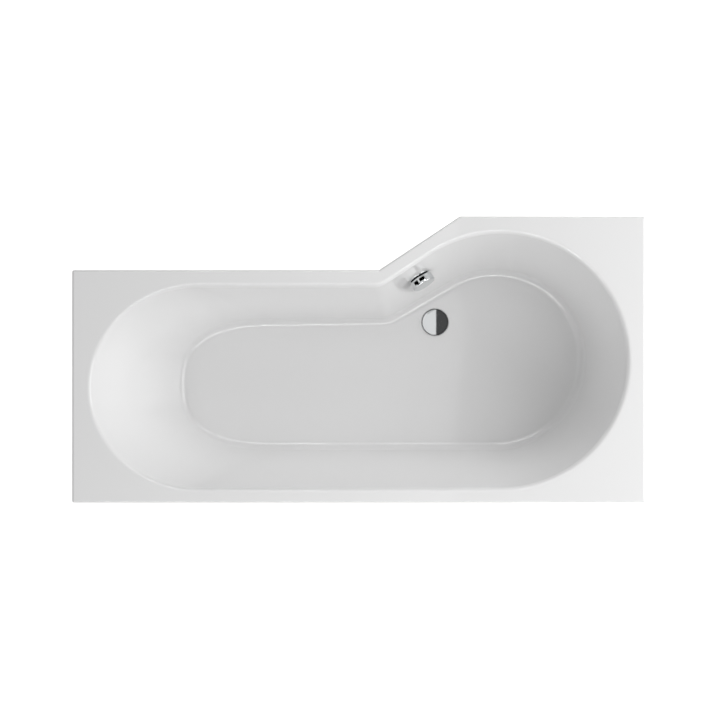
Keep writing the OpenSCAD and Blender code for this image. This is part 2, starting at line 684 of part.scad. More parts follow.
// Chrome ring inside the bath, with a threaded spigot and a spider that carries the spindle
module overflow_ring() {
    seat = -spot_depth;
    color([0.80, 0.81, 0.83]) at_overflow() difference() {
        union() {
            difference() {
                union() {
                    translate([0, 0, seat]) cylinder(r = ring_r, h = ring_t);
                    translate([0, 0, seat - spigot_len]) cylinder(r = spigot_r, h = spigot_len);
                }
                translate([0, 0, seat - spigot_len - 1]) cylinder(r = spigot_r - 3, h = spigot_len + ring_t + 2);
            }
            translate([0, 0, seat - 8]) {
                cylinder(r = hub_r, h = 8 + ring_t, $fn = 32);
                for (a = [0, 120, 240]) rotate([0, 0, a]) translate([0, -2, 0]) cube([spigot_r - 2, 4, 6]);
            }
        }
        translate([0, 0, seat - 10]) cylinder(r = spindle_r + joint_gap, h = 20, $fn = 32);
    }
}
module overflow_seal() {
    color([0.12, 0.12, 0.12]) at_overflow() translate([0, 0, body_face]) difference() {
        cylinder(r = barrel_r + 7, h = seal_t);
        translate([0, 0, -1]) cylinder(r = spigot_r + 0.5, h = seal_t + 2);
    }
}
// Plastic body behind the wall, with the outlet to the pipe and the gland of the cable
gland_drop = drop_len + nut_reach - nut_h - 1;      // ends just above the pipe's top nut
gland_p = drop_p + [overflow_along.x, overflow_along.y, 0] / norm(overflow_along) * (barrel_r - 1);
module overflow_body() {
    rear = body_face - body_len;
    color([0.90, 0.90, 0.88]) difference() {
        union() {
            at_overflow() {
                translate([0, 0, body_face - body_flange_t]) cylinder(r = barrel_r + 9, h = body_flange_t);
                translate([0, 0, rear]) cylinder(r = barrel_r, h = body_len);
            }
            translate(drop_p - [0, 0, drop_len]) cylinder(r = socket_r, h = drop_len);
            translate(gland_p - [0, 0, gland_drop]) cylinder(r = sheath_r + 3, h = gland_drop, $fn = 32);
        }
        at_overflow() {
            translate([0, 0, rear + 6]) cylinder(r = spigot_r + joint_gap, h = body_len);
            translate([0, 0, rear + 2.5]) cylinder(r = spindle_r + joint_gap, h = 10, $fn = 32);
        }
        translate(drop_p - [0, 0, drop_len]) cylinder(r = pipe_bore, h = drop_len);
        translate(drop_p - [0, 0, drop_len + 1]) cylinder(r = pipe_r + joint_gap, h = socket_len + 1);
        translate(gland_p - [0, 0, gland_drop + 1]) cylinder(r = sheath_r + joint_gap, h = 9, $fn = 32);
    }
}

// Ribbed union nut: lip at z = 0, thread above it
module union_nut(r_thread, r_pipe) {
    r = r_thread + nut_grow;
    difference() {
        union() {
            cylinder(r = r - 1.5, h = nut_h);
            for (a = [0 : 30 : 330]) rotate([0, 0, a]) translate([r - 3, -2, 0]) cube([3, 4, nut_h]);
        }
        translate([0, 0, -1]) cylinder(r = r_pipe + joint_gap, h = nut_h + 2);
        translate([0, 0, nut_lip]) cylinder(r = r_thread + joint_gap, h = nut_h);
    }
}
// Ring seal that the nut squeezes against the socket's end: same frame as its nut
module squeeze_ring(r_socket, r_pipe) {
    color([0.12, 0.12, 0.12]) translate([0, 0, nut_lip]) difference() {
        cylinder(r = r_socket - 0.3, h = squeeze_t);
        translate([0, 0, -1]) cylinder(r = r_pipe, h = squeeze_t + 2);
    }
}
module at_nut_top() { translate(drop_p - [0, 0, drop_len + nut_reach]) children(); }
module pipe_seal_top() { at_nut_top() squeeze_ring(socket_r, pipe_r); }
module overflow_nut_top() { color([0.86, 0.86, 0.84]) at_nut_top() union_nut(socket_r, pipe_r); }
bend_top = branch_z + bend_r + 28;
module overflow_pipe() {
    z1 = drop_p.z - drop_len + socket_len - 1;
    z0 = bend_top - socket_len + 1;
    color([0.92, 0.92, 0.90]) translate([drop_p.x, drop_p.y, z0]) difference() {
        cylinder(r = pipe_r, h = z1 - z0);
        translate([0, 0, -1]) cylinder(r = pipe_bore, h = z1 - z0 + 2);
    }
}
module at_nut_bottom() {
    translate([drop_p.x, drop_p.y, bend_top + nut_reach]) rotate([180, 0, 0]) children();
}
module pipe_seal_bottom() { at_nut_bottom() squeeze_ring(socket_r, pipe_r); }
module overflow_nut_bottom() { color([0.86, 0.86, 0.84]) at_nut_bottom() union_nut(socket_r, pipe_r); }
// Frame of the waste: +X points at the overflow pipe
module at_waste(a) { translate([waste_x, waste_y, 0]) rotate([0, 0, a]) children(); }
// Quarter bend in the X-Z plane, from +X travel on the left up to +Z on the right
module quarter(r, turn_r, z) {
    translate([branch_reach - bend_r, 0, z + bend_r]) rotate([90, 0, 0])
        rotate([0, 0, -90]) rotate_extrude(angle = 90) translate([turn_r, 0]) circle(r);
}
module overflow_bend() {
    in = branch_len - socket_len + 1;
    straight = branch_reach - bend_r - in + 0.5;
    color([0.90, 0.90, 0.88]) at_waste(branch_a) difference() {
        union() {
            quarter(pipe_r + 1.5, bend_r, branch_z);
            translate([branch_reach, 0, branch_z + bend_r]) cylinder(r = socket_r, h = bend_top - branch_z - bend_r);
            translate([in, 0, branch_z]) rotate([0, 90, 0]) cylinder(r = pipe_r, h = straight);
        }
        quarter(pipe_bore - 0.5, bend_r, branch_z);
        translate([branch_reach, 0, branch_z + bend_r - 0.5]) cylinder(r = pipe_bore, h = 60);
        translate([branch_reach, 0, bend_top - socket_len]) cylinder(r = pipe_r + joint_gap, h = socket_len + 1);
        translate([in - 1, 0, branch_z]) rotate([0, 90, 0]) cylinder(r = pipe_bore, h = straight + 1);
    }
}
module at_branch_nut() {
    at_waste(branch_a) translate([branch_len + nut_reach, 0, branch_z]) rotate([0, -90, 0]) children();
}
module branch_seal() { at_branch_nut() squeeze_ring(socket_r, pipe_r); }
module branch_nut() { color([0.86, 0.86, 0.84]) at_branch_nut() union_nut(socket_r, pipe_r); }

/* ---------------- Bowden cable ---------------- */

cable_from = gland_p - [0, 0, gland_drop - 8];
cable_out = [cos(cable_side), sin(cable_side), 0];
cable_to = [waste_x, waste_y, cable_z] + cable_out * (waste_body_r + 3);
function cable_at(t) =
    pow(1 - t, 3) * cable_from + 3 * t * pow(1 - t, 2) * (cable_from - [0, 0, cable_sag])
    + 3 * t * t * (1 - t) * (cable_to + 95 * cable_out) + pow(t, 3) * cable_to;
cable_rings = 26;
cable_sides = 8;
cable_sag = 0.855 * (cable_from.z - cable_to.z);
cable_path = [for (i = [0 : cable_rings]) cable_at(i / cable_rings)];
cable_flat = unit(cross(cable_to - cable_from, [0, 0, 1]));
function cable_tangent(i) =
    i == 0 ? [0, 0, -1] : i == cable_rings ? -cable_out : unit(cable_path[i + 1] - cable_path[i - 1]);
function cable_ring(i, r, sides) =
    let (t = cable_tangent(i), n = unit(cross(t, cable_flat)), b = cross(t, n))
    [for (k = [0 : sides - 1]) cable_path[i] + r * (n * cos(360 * k / sides) + b * sin(360 * k / sides))];
module cable_tube(r, inner) {
    outer = [for (i = [0 : cable_rings]) cable_ring(i, r, cable_sides)];
    back = [for (i = [cable_rings : -1 : 0]) cable_ring(i, inner, cable_sides)];
    rings = concat(outer, back);
    n = cable_sides;
    m = len(rings);
    faces = [for (q = [0 : m - 1]) for (i = [0 : n - 1])
        let (s = (q + 1) % m, j = (i + 1) % n)
        each [[q * n + i, s * n + i, s * n + j], [q * n + i, s * n + j, q * n + j]]];
    polyhedron(points = [for (ring = rings) for (p = ring) p], faces = faces, convexity = 6);
}
module cable_sheath() { color([0.10, 0.10, 0.11]) cable_tube(sheath_r, 1.1); }
// The strands of the wire leave a thin core
module cable_wire() { color([0.70, 0.71, 0.73]) cable_tube(0.8, 0.25); }

/* ---------------- waste and pop-up plug ---------------- */

module waste_flange() {
    z0 = seat_z + top_seal_t;
    color([0.80, 0.81, 0.83]) translate([waste_x, waste_y, 0]) difference() {
        union() {
            difference() {
                union() {
                    translate([0, 0, z0]) cylinder(r = flange_r, h = flange_t);
                    translate([0, 0, waste_z - 24]) cylinder(r = tail_r, h = z0 - waste_z + 24);
                }
                translate([0, 0, waste_z - 25]) cylinder(r = tail_r - 2.5, h = 40);
            }
            translate([0, 0, waste_z - 20]) {
                cylinder(r = hub_r, h = 13, $fn = 32);
                for (a = [0 : 90 : 270]) rotate([0, 0, a + 45]) translate([0, -1.5, 0]) cube([tail_r - 1, 3, 7]);
            }
        }
        translate([0, 0, waste_z - 21]) cylinder(r = spindle_r + joint_gap, h = 20, $fn = 32);
    }
}
module waste_ring(r0, r1, z, h) {
    translate([waste_x, waste_y, z]) difference() {
        cylinder(r = r1, h = h);
        translate([0, 0, -1]) cylinder(r = r0, h = h + 2);
    }
}
module waste_top_seal() { color([0.12, 0.12, 0.12]) waste_ring(waste_hole_r + 0.5, flange_r - 1, seat_z, top_seal_t); }
module waste_bottom_seal() {
    color([0.12, 0.12, 0.12]) waste_ring(waste_bore_r + 0.5, waste_body_r + 7, body_z, low_seal_t);
}
module waste_body() {
    gland_in = waste_bore_r + 1;
    color([0.90, 0.90, 0.88]) difference() {
        union() {
            translate([waste_x, waste_y, body_z - 4]) cylinder(r = waste_body_r + 8, h = 4);
            translate([waste_x, waste_y, neck_top]) cylinder(r = waste_body_r, h = body_z - neck_top);
            translate([waste_x, waste_y, neck_z]) cylinder(r = neck_r, h = neck_top - neck_z);
            at_waste(branch_a) translate([0, 0, branch_z]) rotate([0, 90, 0]) cylinder(r = socket_r, h = branch_len);
            at_waste(cable_side) translate([gland_in, 0, cable_z]) rotate([0, 90, 0])
                cylinder(r = sheath_r + 3, h = waste_body_r + gland_len - gland_in, $fn = 32);
        }
        translate([waste_x, waste_y, neck_top + 4]) cylinder(r = waste_bore_r, h = body_z - neck_top);
        translate([waste_x, waste_y, neck_z - 1]) cylinder(r = neck_bore, h = neck_top - neck_z + 6);
        at_waste(branch_a) translate([0, 0, branch_z]) rotate([0, 90, 0]) {
            cylinder(r = pipe_bore, h = branch_len + 1);
            translate([0, 0, branch_len - socket_len]) cylinder(r = pipe_r + joint_gap, h = socket_len + 1);
        }
        at_waste(cable_side) {
            translate([waste_body_r + 3, 0, cable_z]) rotate([0, 90, 0])
                cylinder(r = sheath_r + joint_gap, h = gland_len, $fn = 32);
            translate([waste_bore_r - 3, 0, cable_z]) rotate([0, 90, 0]) cylinder(r = 1.2, h = 10, $fn = 24);
            translate([lever_arm, 0, lever_z]) rotate([90, 0, 0])
                cylinder(r = 2, h = 2 * waste_body_r + 12, center = true, $fn = 24);
        }
    }
}
// Domed chrome cap with a boss for the stem
module plug_cover() {
    rise = 3.2;
    under = waste_z + 0.8;
    dome = (cover_r * cover_r + rise * rise) / (2 * rise);
    color([0.82, 0.83, 0.85]) translate([waste_x, waste_y, under]) rotate_extrude()
        polygon([
            [spindle_r, -4], [hub_r, -4], [hub_r, 0], [cover_r - 1, 0], [cover_r, 0.6],
            for (i = [0 : 10]) let (r = cover_r * (1 - i / 10)) [r, 1.4 + sqrt(dome * dome - r * r) - (dome - rise)],
            [0, 0.2], [spindle_r, 0.2]]);
}
module plug_stem() {
    color([0.62, 0.63, 0.65]) translate([waste_x, waste_y, waste_z - 33]) cylinder(r = spindle_r, h = 34, $fn = 32);
}
module plug_seal() {
    color([0.12, 0.12, 0.12]) waste_ring(waste_bore_r - 1, waste_bore_r + 3, waste_z - 0.3, 1.1);
}
// Cranked lever: the upper arm lifts the stem, the cable works the lower one
module lift_lever() {
    color([0.62, 0.63, 0.65]) at_waste(cable_side) translate([lever_arm, 0, lever_z]) rotate([90, 0, 0])
        translate([0, 0, -3]) linear_extrude(6) difference() {
            union() {
                circle(3.5, $fn = 32);
                translate([-lever_arm - 3, -lever_t / 2]) square([lever_arm + 3, lever_t]);
                translate([-lever_t / 2, -16]) square([lever_t, 16]);
            }
            circle(2 + joint_gap, $fn = 24);
        }
}
module lever_pin() {
    half = sqrt(waste_body_r * waste_body_r - lever_arm * lever_arm);
    color([0.62, 0.63, 0.65]) at_waste(cable_side) translate([lever_arm, 0, lever_z]) rotate([90, 0, 0])
        cylinder(r = 2, h = 2 * half - 1, center = true, $fn = 24);
}

/* ---------------- trap ---------------- */

module trap_nut() {
    r = neck_r + 7;
    color([0.86, 0.86, 0.84]) translate([waste_x, waste_y, trap_top - collar_t - 3.5]) difference() {
        union() {
            cylinder(r = r - 2, h = 22);
            for (a = [0 : 30 : 330]) rotate([0, 0, a]) translate([r - 4, -2.5, 0]) cube([4, 5, 22]);
        }
        translate([0, 0, -1]) cylinder(r = trap_r + joint_gap, h = 24);
        translate([0, 0, 3.5]) cylinder(r = neck_r + joint_gap, h = 20);
    }
}
module trap_washer() { color([0.12, 0.12, 0.12]) waste_ring(neck_bore, neck_r - 0.2, trap_top, washer_t); }
// The trap's water way: down leg, U bend, up leg, elbow and outlet, as one solid of radius r
module trap_way(r, end_y) {
    translate([waste_x, waste_y, trap_z]) cylinder(r = r, h = trap_top - trap_z);
    translate([waste_x, waste_y - trap_bend, trap_z]) rotate([90, 0, 90]) rotate([0, 0, 180])
        rotate_extrude(angle = 180) translate([trap_bend, 0]) circle(r);
    translate([waste_x, trap_far, trap_z]) cylinder(r = r, h = outlet_z - elbow_r - trap_z);
    translate([waste_x, elbow_y, outlet_z - elbow_r]) rotate([90, 0, 90])
        rotate_extrude(angle = 90) translate([elbow_r, 0]) circle(r);
    translate([waste_x, elbow_y, outlet_z]) rotate([90, 0, 0]) cylinder(r = r, h = elbow_y - end_y);
}
trap_socket_r = outlet_r + 3.5;
trap_socket_y = elbow_y - 36;
clean_y = waste_y - trap_bend;
clean_z = trap_z - trap_bend - trap_r - 9;
module trap_body() {
    color([0.90, 0.90, 0.88]) difference() {
        union() {
            trap_way(trap_r, elbow_y - 8);
            translate([waste_x, waste_y, trap_top - collar_t]) cylinder(r = neck_r - 0.2, h = collar_t);
            translate([waste_x, elbow_y - 6, outlet_z]) rotate([90, 0, 0])
                cylinder(r = trap_socket_r, h = elbow_y - 6 - trap_socket_y);
            translate([waste_x, clean_y, clean_z + 3]) cylinder(r = 11, h = trap_r + 3);
        }
        trap_way(trap_bore, trap_socket_y - 1);
        translate([waste_x, elbow_y - 12, outlet_z]) rotate([90, 0, 0])
            cylinder(r = outlet_r + joint_gap, h = elbow_y - 11 - trap_socket_y);
        translate([waste_x, clean_y, clean_z]) cylinder(r = 8, h = trap_r + 3);
        translate([waste_x, waste_y, trap_top - 1]) cylinder(r = trap_bore, h = 3);
    }
}
module cleaning_plug() {
    color([0.86, 0.86, 0.84]) translate([waste_x, clean_y, clean_z]) difference() {
        cylinder(r = 14, h = 9.5);
        translate([0, 0, 3]) cylinder(r = 11 + joint_gap, h = 7);
    }
}
module at_outlet_nut() {
    translate([waste_x, trap_socket_y - nut_reach, outlet_z]) rotate([-90, 0, 0]) children();
}
module trap_outlet_seal() { at_outlet_nut() squeeze_ring(trap_socket_r, outlet_r + joint_gap); }
module trap_outlet_nut() { color([0.86, 0.86, 0.84]) at_outlet_nut() union_nut(trap_socket_r, outlet_r); }
acrylic_shell();
fibreglass_backing();
base_board();
batten_wall();
batten_head();
batten_narrow();
batten_diagonal();
batten_wide();
batten_foot();
cradle_rail_head();
cradle_rail_foot();
centre_foot_bracket();
cradle_screws();
leg_stud_head_wall();
leg_stud_head_front();
leg_stud_foot_wall();
leg_stud_foot_front();
leg_stud_centre();
foot_pad_head_wall();
foot_pad_head_front();
foot_pad_foot_wall();
foot_pad_foot_front();
foot_pad_centre();
leg_nuts();
wall_bracket_head();
wall_bracket_foot();
wall_bracket_screws();
overflow_knob();
knob_spindle();
overflow_ring();
overflow_seal();
overflow_body();
pipe_seal_top();
overflow_nut_top();
overflow_pipe();
pipe_seal_bottom();
overflow_nut_bottom();
overflow_bend();
branch_seal();
branch_nut();
cable_sheath();
cable_wire();
waste_flange();
waste_top_seal();
waste_bottom_seal();
waste_body();
plug_cover();
plug_stem();
plug_seal();
lift_lever();
lever_pin();
trap_nut();
trap_washer();
trap_body();
cleaning_plug();
trap_outlet_seal();
trap_outlet_nut();
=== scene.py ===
import json
import math

import bmesh
import bpy
import numpy as np
from mathutils import Matrix, Vector, noise


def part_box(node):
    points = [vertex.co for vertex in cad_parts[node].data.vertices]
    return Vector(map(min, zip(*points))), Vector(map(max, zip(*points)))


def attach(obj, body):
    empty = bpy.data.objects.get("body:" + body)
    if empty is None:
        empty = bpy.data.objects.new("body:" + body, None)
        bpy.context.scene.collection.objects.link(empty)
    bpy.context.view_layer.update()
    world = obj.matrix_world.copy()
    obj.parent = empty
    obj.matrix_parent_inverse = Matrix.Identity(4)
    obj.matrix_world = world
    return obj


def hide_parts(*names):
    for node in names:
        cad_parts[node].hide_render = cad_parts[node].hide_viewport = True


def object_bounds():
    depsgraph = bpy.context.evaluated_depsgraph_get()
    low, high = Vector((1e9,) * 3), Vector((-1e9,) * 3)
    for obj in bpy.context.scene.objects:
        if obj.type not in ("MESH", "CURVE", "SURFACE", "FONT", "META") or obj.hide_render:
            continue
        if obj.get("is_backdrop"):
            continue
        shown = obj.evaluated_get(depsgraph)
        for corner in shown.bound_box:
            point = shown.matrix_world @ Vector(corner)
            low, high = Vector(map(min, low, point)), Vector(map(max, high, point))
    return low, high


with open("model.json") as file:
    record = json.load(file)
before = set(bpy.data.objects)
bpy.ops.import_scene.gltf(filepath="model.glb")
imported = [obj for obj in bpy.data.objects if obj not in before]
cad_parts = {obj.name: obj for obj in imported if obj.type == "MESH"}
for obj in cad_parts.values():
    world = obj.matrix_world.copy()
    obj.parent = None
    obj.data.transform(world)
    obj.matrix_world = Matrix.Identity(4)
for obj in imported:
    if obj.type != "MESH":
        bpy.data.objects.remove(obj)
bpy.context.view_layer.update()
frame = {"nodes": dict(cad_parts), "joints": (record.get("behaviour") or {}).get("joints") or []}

mm = 0.001

# ---- Bath shell --------------------------------------------------------------------------------
# One sheet of white cast acrylic, heated and drawn by vacuum over a mould. It comes out 4 mm thick,
# with a flat deck, a rolled bowl edge, soft corners and a trimmed lip, and it keeps its sheet gloss.

shell_low, shell_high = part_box("acrylic_shell")
head_x, foot_x = shell_low.x, shell_high.x
wall_y, wide_y = shell_low.y, shell_high.y
rim_z = shell_high.z
lip_h = 38 * mm
lip_z = rim_z - lip_h
front_step = 150 * mm
narrow_y = wide_y - front_step
diagonal_tilt = 33.57
corner_r = 6 * mm
edge_r = 6 * mm
acrylic_t = 4 * mm
roll_r = 16 * mm
fillet_r = 28 * mm
bowl_depth = 400 * mm
floor_z = rim_z - bowl_depth
floor_fall = 0.008
waste_flange_r = 38 * mm
plug_low, plug_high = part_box("plug_cover")
waste_c = np.array([(plug_low.x + plug_high.x) / 2, (plug_low.y + plug_high.y) / 2])
lowest_c = waste_c - [0, waste_flange_r]
DETAIL = 6              # stations of the fine mesh to one of the plan's
ROUND = 2               # squareness of a true circle or ellipse


def unit(v):
    return v / np.linalg.norm(v)


def turned(v, angle):
    c, s = math.cos(angle), math.sin(angle)
    return np.array([v[0] * c - v[1] * s, v[0] * s + v[1] * c])


def stretch(a, b, count, last=False):
    """Points or angles from a to b; the last one is left to the next stretch unless it is asked for."""
    steps = count * DETAIL
    t = np.arange(steps + last) / steps
    a, b = np.asarray(a, float), np.asarray(b, float)
    return a + (b - a) * (t[:, None] if a.ndim else t)


def oval(centre, rx, ry, squareness, angles):
    """Points on an oval at angles in degrees; a greater squareness fills out its four corners."""
    c, s = np.cos(np.radians(angles)), np.sin(np.radians(angles))
    power = 2 / squareness
    return centre + np.stack([rx * np.sign(c) * abs(c) ** power, ry * np.sign(s) * abs(s) ** power], 1)


def arc(centre, r, angles):
    return oval(centre, r, r, ROUND, angles)


def inward_corner(corner, u, v, r):
    """Centre of the round in an inward corner between directions u and v, and its run along them."""
    half = (math.pi - math.acos(u @ v)) / 2
    return corner + unit(u + v) * r / math.cos(half), r * math.tan(half)


# Plan of the bowl's edge: a circle at the shower end, half an oval at the backrest, and a deck round
# them that has its own width on each side
deck_wall = 40 * mm
deck_front = 46 * mm
deck_foot = 48 * mm
deck_head = 50 * mm
deck_diagonal = 40.7 * mm
bowl_corner_r = 65 * mm
head_rx = 300 * mm
diagonal = turned(np.array([1.0, 0.0]), math.radians(diagonal_tilt))
diagonal_out = turned(diagonal, math.pi / 2)
bowl_wall = wall_y + deck_wall
bowl_r = (wide_y - deck_front - bowl_wall) / 2
bowl_c = np.array([foot_x - deck_foot - bowl_r, bowl_wall + bowl_r])
bowl_narrow = narrow_y - deck_front
head_ry = (bowl_narrow - bowl_wall) / 2
head_c = np.array([head_x + deck_head + head_rx, (bowl_narrow + bowl_wall) / 2])
diagonal_reach = bowl_r + deck_diagonal
diagonal_tangent = bowl_c + bowl_r * diagonal_out

# Plan of the floor's edge, which lies inside the bowl's by the run of the sloping walls
wall_run_foot = 101 * mm
wall_run_front = 132 * mm
floor_shift = 3 * mm
floor_taper = 5 * mm
floor_corner_r = 75 * mm
floor_head_in = 574 * mm
floor_head_rx = 283 * mm
floor_head_squareness = 2.6
floor_tilt = 30
floor_r = bowl_r - wall_run_foot
floor_c = bowl_c + [0, floor_shift]
floor_narrow = narrow_y - wall_run_front
floor_out = turned(turned(np.array([1, 0]), math.radians(floor_tilt)), math.pi / 2)
floor_tangent = floor_c + floor_r * floor_out
floor_top, floor_low = floor_narrow - floor_taper, floor_c[1] - floor_r
floor_head_ry = (floor_top - floor_low) / 2
floor_head_c = np.array([head_x + floor_head_in, (floor_top + floor_low) / 2])


def tangent_x(centre, out, reach, y):
    """X at a given Y on the straight line that lies a reach away from a centre, square to out."""
    return centre[0] + (out[1] * (y - centre[1]) - reach) / -out[0]


def diagonal_x(y, inset):
    return tangent_x(bowl_c, diagonal_out, diagonal_reach - inset, y)


bowl_corner = np.array([tangent_x(bowl_c, diagonal_out, bowl_r, bowl_narrow), bowl_narrow])
floor_corner = np.array([tangent_x(floor_c, floor_out, floor_r, floor_narrow), floor_narrow])


def angle_to(centre, x, y, ry=1.0, rx=1.0):
    return math.degrees(math.atan2((y - centre[1]) / ry, (x - centre[0]) / rx))


# Directions in degrees in which the rim's corners lie. The stations of the four rounded ones take up
# a small share of the bowl's edge, to each side of that direction.
wall_corner = angle_to(bowl_c, foot_x, wall_y)
wide_corner = angle_to(bowl_c, foot_x, wide_y)
diagonal_corner = angle_to(bowl_c, diagonal_x(wide_y, 0), wide_y)
head_top_corner = angle_to(head_c, head_x, narrow_y, head_ry, head_rx)
head_low_corner = angle_to(head_c, head_x, wall_y, head_ry, head_rx) + 360
corner_share = 0.9
CORNER = np.linspace(-1, 1, 7)[1:-1]


def edge_ring(c, r, tilt, tangent, corner, corner_round, hc, rx, ry, squareness):
    """Stations along an edge of the bowl: the wall side, the shower end, the diagonal, the inward
    corner, the narrow front and the backrest."""
    low, high = hc - [0, ry], hc + [0, ry]
    u, v = unit(tangent - corner), unit(high - corner)
    mid, run = inward_corner(corner, u, v, corner_round)
    start = angle_to(mid, *(corner + u * run))
    end = angle_to(mid, *(corner + v * run))

    def head_part(angles):
        return oval(hc, rx, ry, squareness, angles)

    share = corner_share
    return np.concatenate([
        stretch(low, c - [0, r], 4),
        arc(c, r, stretch(-90, wall_corner - share, 6, True)),
        arc(c, r, wall_corner + share * CORNER),
        arc(c, r, stretch(wall_corner + share, wide_corner - share, 12, True)),
        arc(c, r, wide_corner + share * CORNER),
        arc(c, r, stretch(wide_corner + share, diagonal_corner, 8)),
        arc(c, r, stretch(diagonal_corner, 90 + tilt, 3)),
        stretch(tangent, corner + u * run, 3),
        arc(mid, corner_round, stretch(start, end, 4)),
        stretch(corner + v * run, high, 5),
        head_part(stretch(90, head_top_corner - share, 6, True)),
        head_part(head_top_corner + share * CORNER),
        head_part(stretch(head_top_corner + share, head_low_corner - share, 12, True)),
        head_part(head_low_corner + share * CORNER),
        head_part(stretch(head_low_corner + share, 270, 6)),
    ])


least_round = 0.6 * mm
knee_run = 12 * mm


def rim_ring(inset):
    """The rim's outline set in by a distance, with the same stations as the bowl's edge."""
    x0, x1, y0, y1 = head_x + inset, foot_x - inset, wall_y + inset, wide_y - inset
    y2 = narrow_y - inset
    r = max(corner_r - inset, least_round)
    knee = np.array([diagonal_x(y2, inset), y2])
    flank = bowl_c + diagonal_out * (diagonal_reach - inset)

    def corner(x, y, toward):
        """A rounded corner; toward says which way its centre lies, along X and along Y."""
        first = {(-1, 1): -90, (-1, -1): 0, (1, -1): 90, (1, 1): 180}[toward]
        return arc(np.array([x, y]) + r * np.array(toward), r, first + 45 * (1 + CORNER))

    return np.concatenate([
        stretch([head_c[0], y0], [bowl_c[0], y0], 4),
        stretch([bowl_c[0], y0], [x1 - r, y0], 6, True), corner(x1, y0, (-1, 1)),
        stretch([x1, y0 + r], [x1, y1 - r], 12, True), corner(x1, y1, (-1, -1)),
        stretch([x1 - r, y1], [diagonal_x(y1, inset), y1], 8),
        stretch([diagonal_x(y1, inset), y1], flank, 3),
        stretch(flank, knee + diagonal * knee_run, 3),
        stretch(knee + diagonal * knee_run, knee, 2), stretch(knee, knee - [knee_run, 0], 2),
        stretch(knee - [knee_run, 0], [head_c[0], y2], 5),
        stretch([head_c[0], y2], [x0 + r, y2], 6, True), corner(x0, y2, (1, -1)),
        stretch([x0, y2 - r], [x0, y0 + r], 12, True), corner(x0, y0, (1, 1)),
        stretch([x0 + r, y0], [head_c[0], y0], 6),
    ])


bowl_ring = edge_ring(bowl_c, bowl_r, diagonal_tilt, diagonal_tangent, bowl_corner, bowl_corner_r,
                      head_c, head_rx, head_ry, ROUND)
floor_ring = edge_ring(floor_c, floor_r, floor_tilt, floor_tangent, floor_corner, floor_corner_r,
                       floor_head_c, floor_head_rx, floor_head_ry, floor_head_squareness)


def inward(ring):
    """Level directions at a ring's stations, square to it and into the bowl."""
    ahead = np.roll(ring, -1, 0) - ring
    ahead /= np.linalg.norm(ahead, axis=1)[:, None]
    along = ahead + np.roll(ahead, 1, 0)
    along /= np.linalg.norm(along, axis=1)[:, None]
    return np.stack([-along[:, 1], along[:, 0]], 1)


def dot(a, b):
    return (a * b).sum(1)


bowl_in, floor_in = inward(bowl_ring), inward(floor_ring)
edge_z = floor_z + floor_fall * np.linalg.norm(floor_ring - lowest_c, axis=1)
wall_run = floor_ring - bowl_ring
roll_turn = np.arctan2(rim_z - edge_z, dot(wall_run, bowl_in))
fillet_turn = np.arctan2(rim_z - edge_z, dot(wall_run, floor_in))


def level(ring, z):
    return np.column_stack([ring, np.broadcast_to(z, len(ring))])


def roll(depth, share):
    """A row of the roll between deck and wall, a given depth behind the bowl's face."""
    a = math.pi / 2 - roll_turn * share
    out = (roll_r - depth) * np.cos(a) - roll_r * np.tan(roll_turn / 2)
    return level(bowl_ring + bowl_in * out[:, None], rim_z - roll_r + (roll_r - depth) * np.sin(a))


def fillet(depth, z, share):
    """A row of the fillet between wall and floor, the floor being at height z."""
    r, w = fillet_r + depth, fillet_turn
    run = -depth * np.sin(w) - (z - edge_z + depth * np.cos(w)) * np.cos(w) / np.sin(w) + r * np.tan(w / 2)
    a = 3 * math.pi / 2 - w * (1 - share)
    return level(floor_ring + floor_in * (run + r * np.cos(a))[:, None], z + r + r * np.sin(a))


def between(a, b, shares):
    return [a + (b - a) * t for t in shares]


def bowl_rows(depth, z, roll_steps, wall_shares, fillet_steps):
    """Rows down one face of the bowl, from the deck's edge to the edge of the floor."""
    rolls = [roll(depth, k / roll_steps) for k in range(roll_steps + 1)]
    fillets = [fillet(depth, z, k / fillet_steps) for k in range(fillet_steps + 1)]
    return rolls + between(rolls[-1], fillets[0], wall_shares) + fillets


# Stations round the waste, halfway between those of the floor's edge and an even spread, so that the
# floor's rows close in on it without crossing or crowding
to_edge = fillet(0, edge_z, 1)[:, :2] - waste_c
seen_at = np.unwrap(np.arctan2(to_edge[:, 1], to_edge[:, 0]))
even = np.arange(len(seen_at)) * 2 * math.pi / len(seen_at)
ray_turn = (seen_at + even + (seen_at - even).mean()) / 2
waste_ray = np.stack([np.cos(ray_turn), np.sin(ray_turn)], 1)


def waste_circle(r, z):
    return level(waste_c + waste_ray * r, z)


def cone_z(xy):
    """Height of the floor, a flat cone that falls toward its lowest point beside the waste."""
    return floor_z + floor_fall * np.linalg.norm(xy - lowest_c, axis=1)


def floor_rows(outer, r, drop, shares):
    """Rows over the floor, from the fillet in to a circle round the waste."""
    rise = outer[:, 2] - (cone_z(outer[:, :2]) - drop)
    inner = waste_circle(r, 0)
    rows = []
    for share in shares:
        xy = outer[:, :2] + (inner[:, :2] - outer[:, :2]) * share
        rows.append(level(xy, cone_z(xy) - drop + rise * (1 - share) ** 4))
    return rows


SHARP = 35              # degrees between two faces, from where their edge isn't smoothed


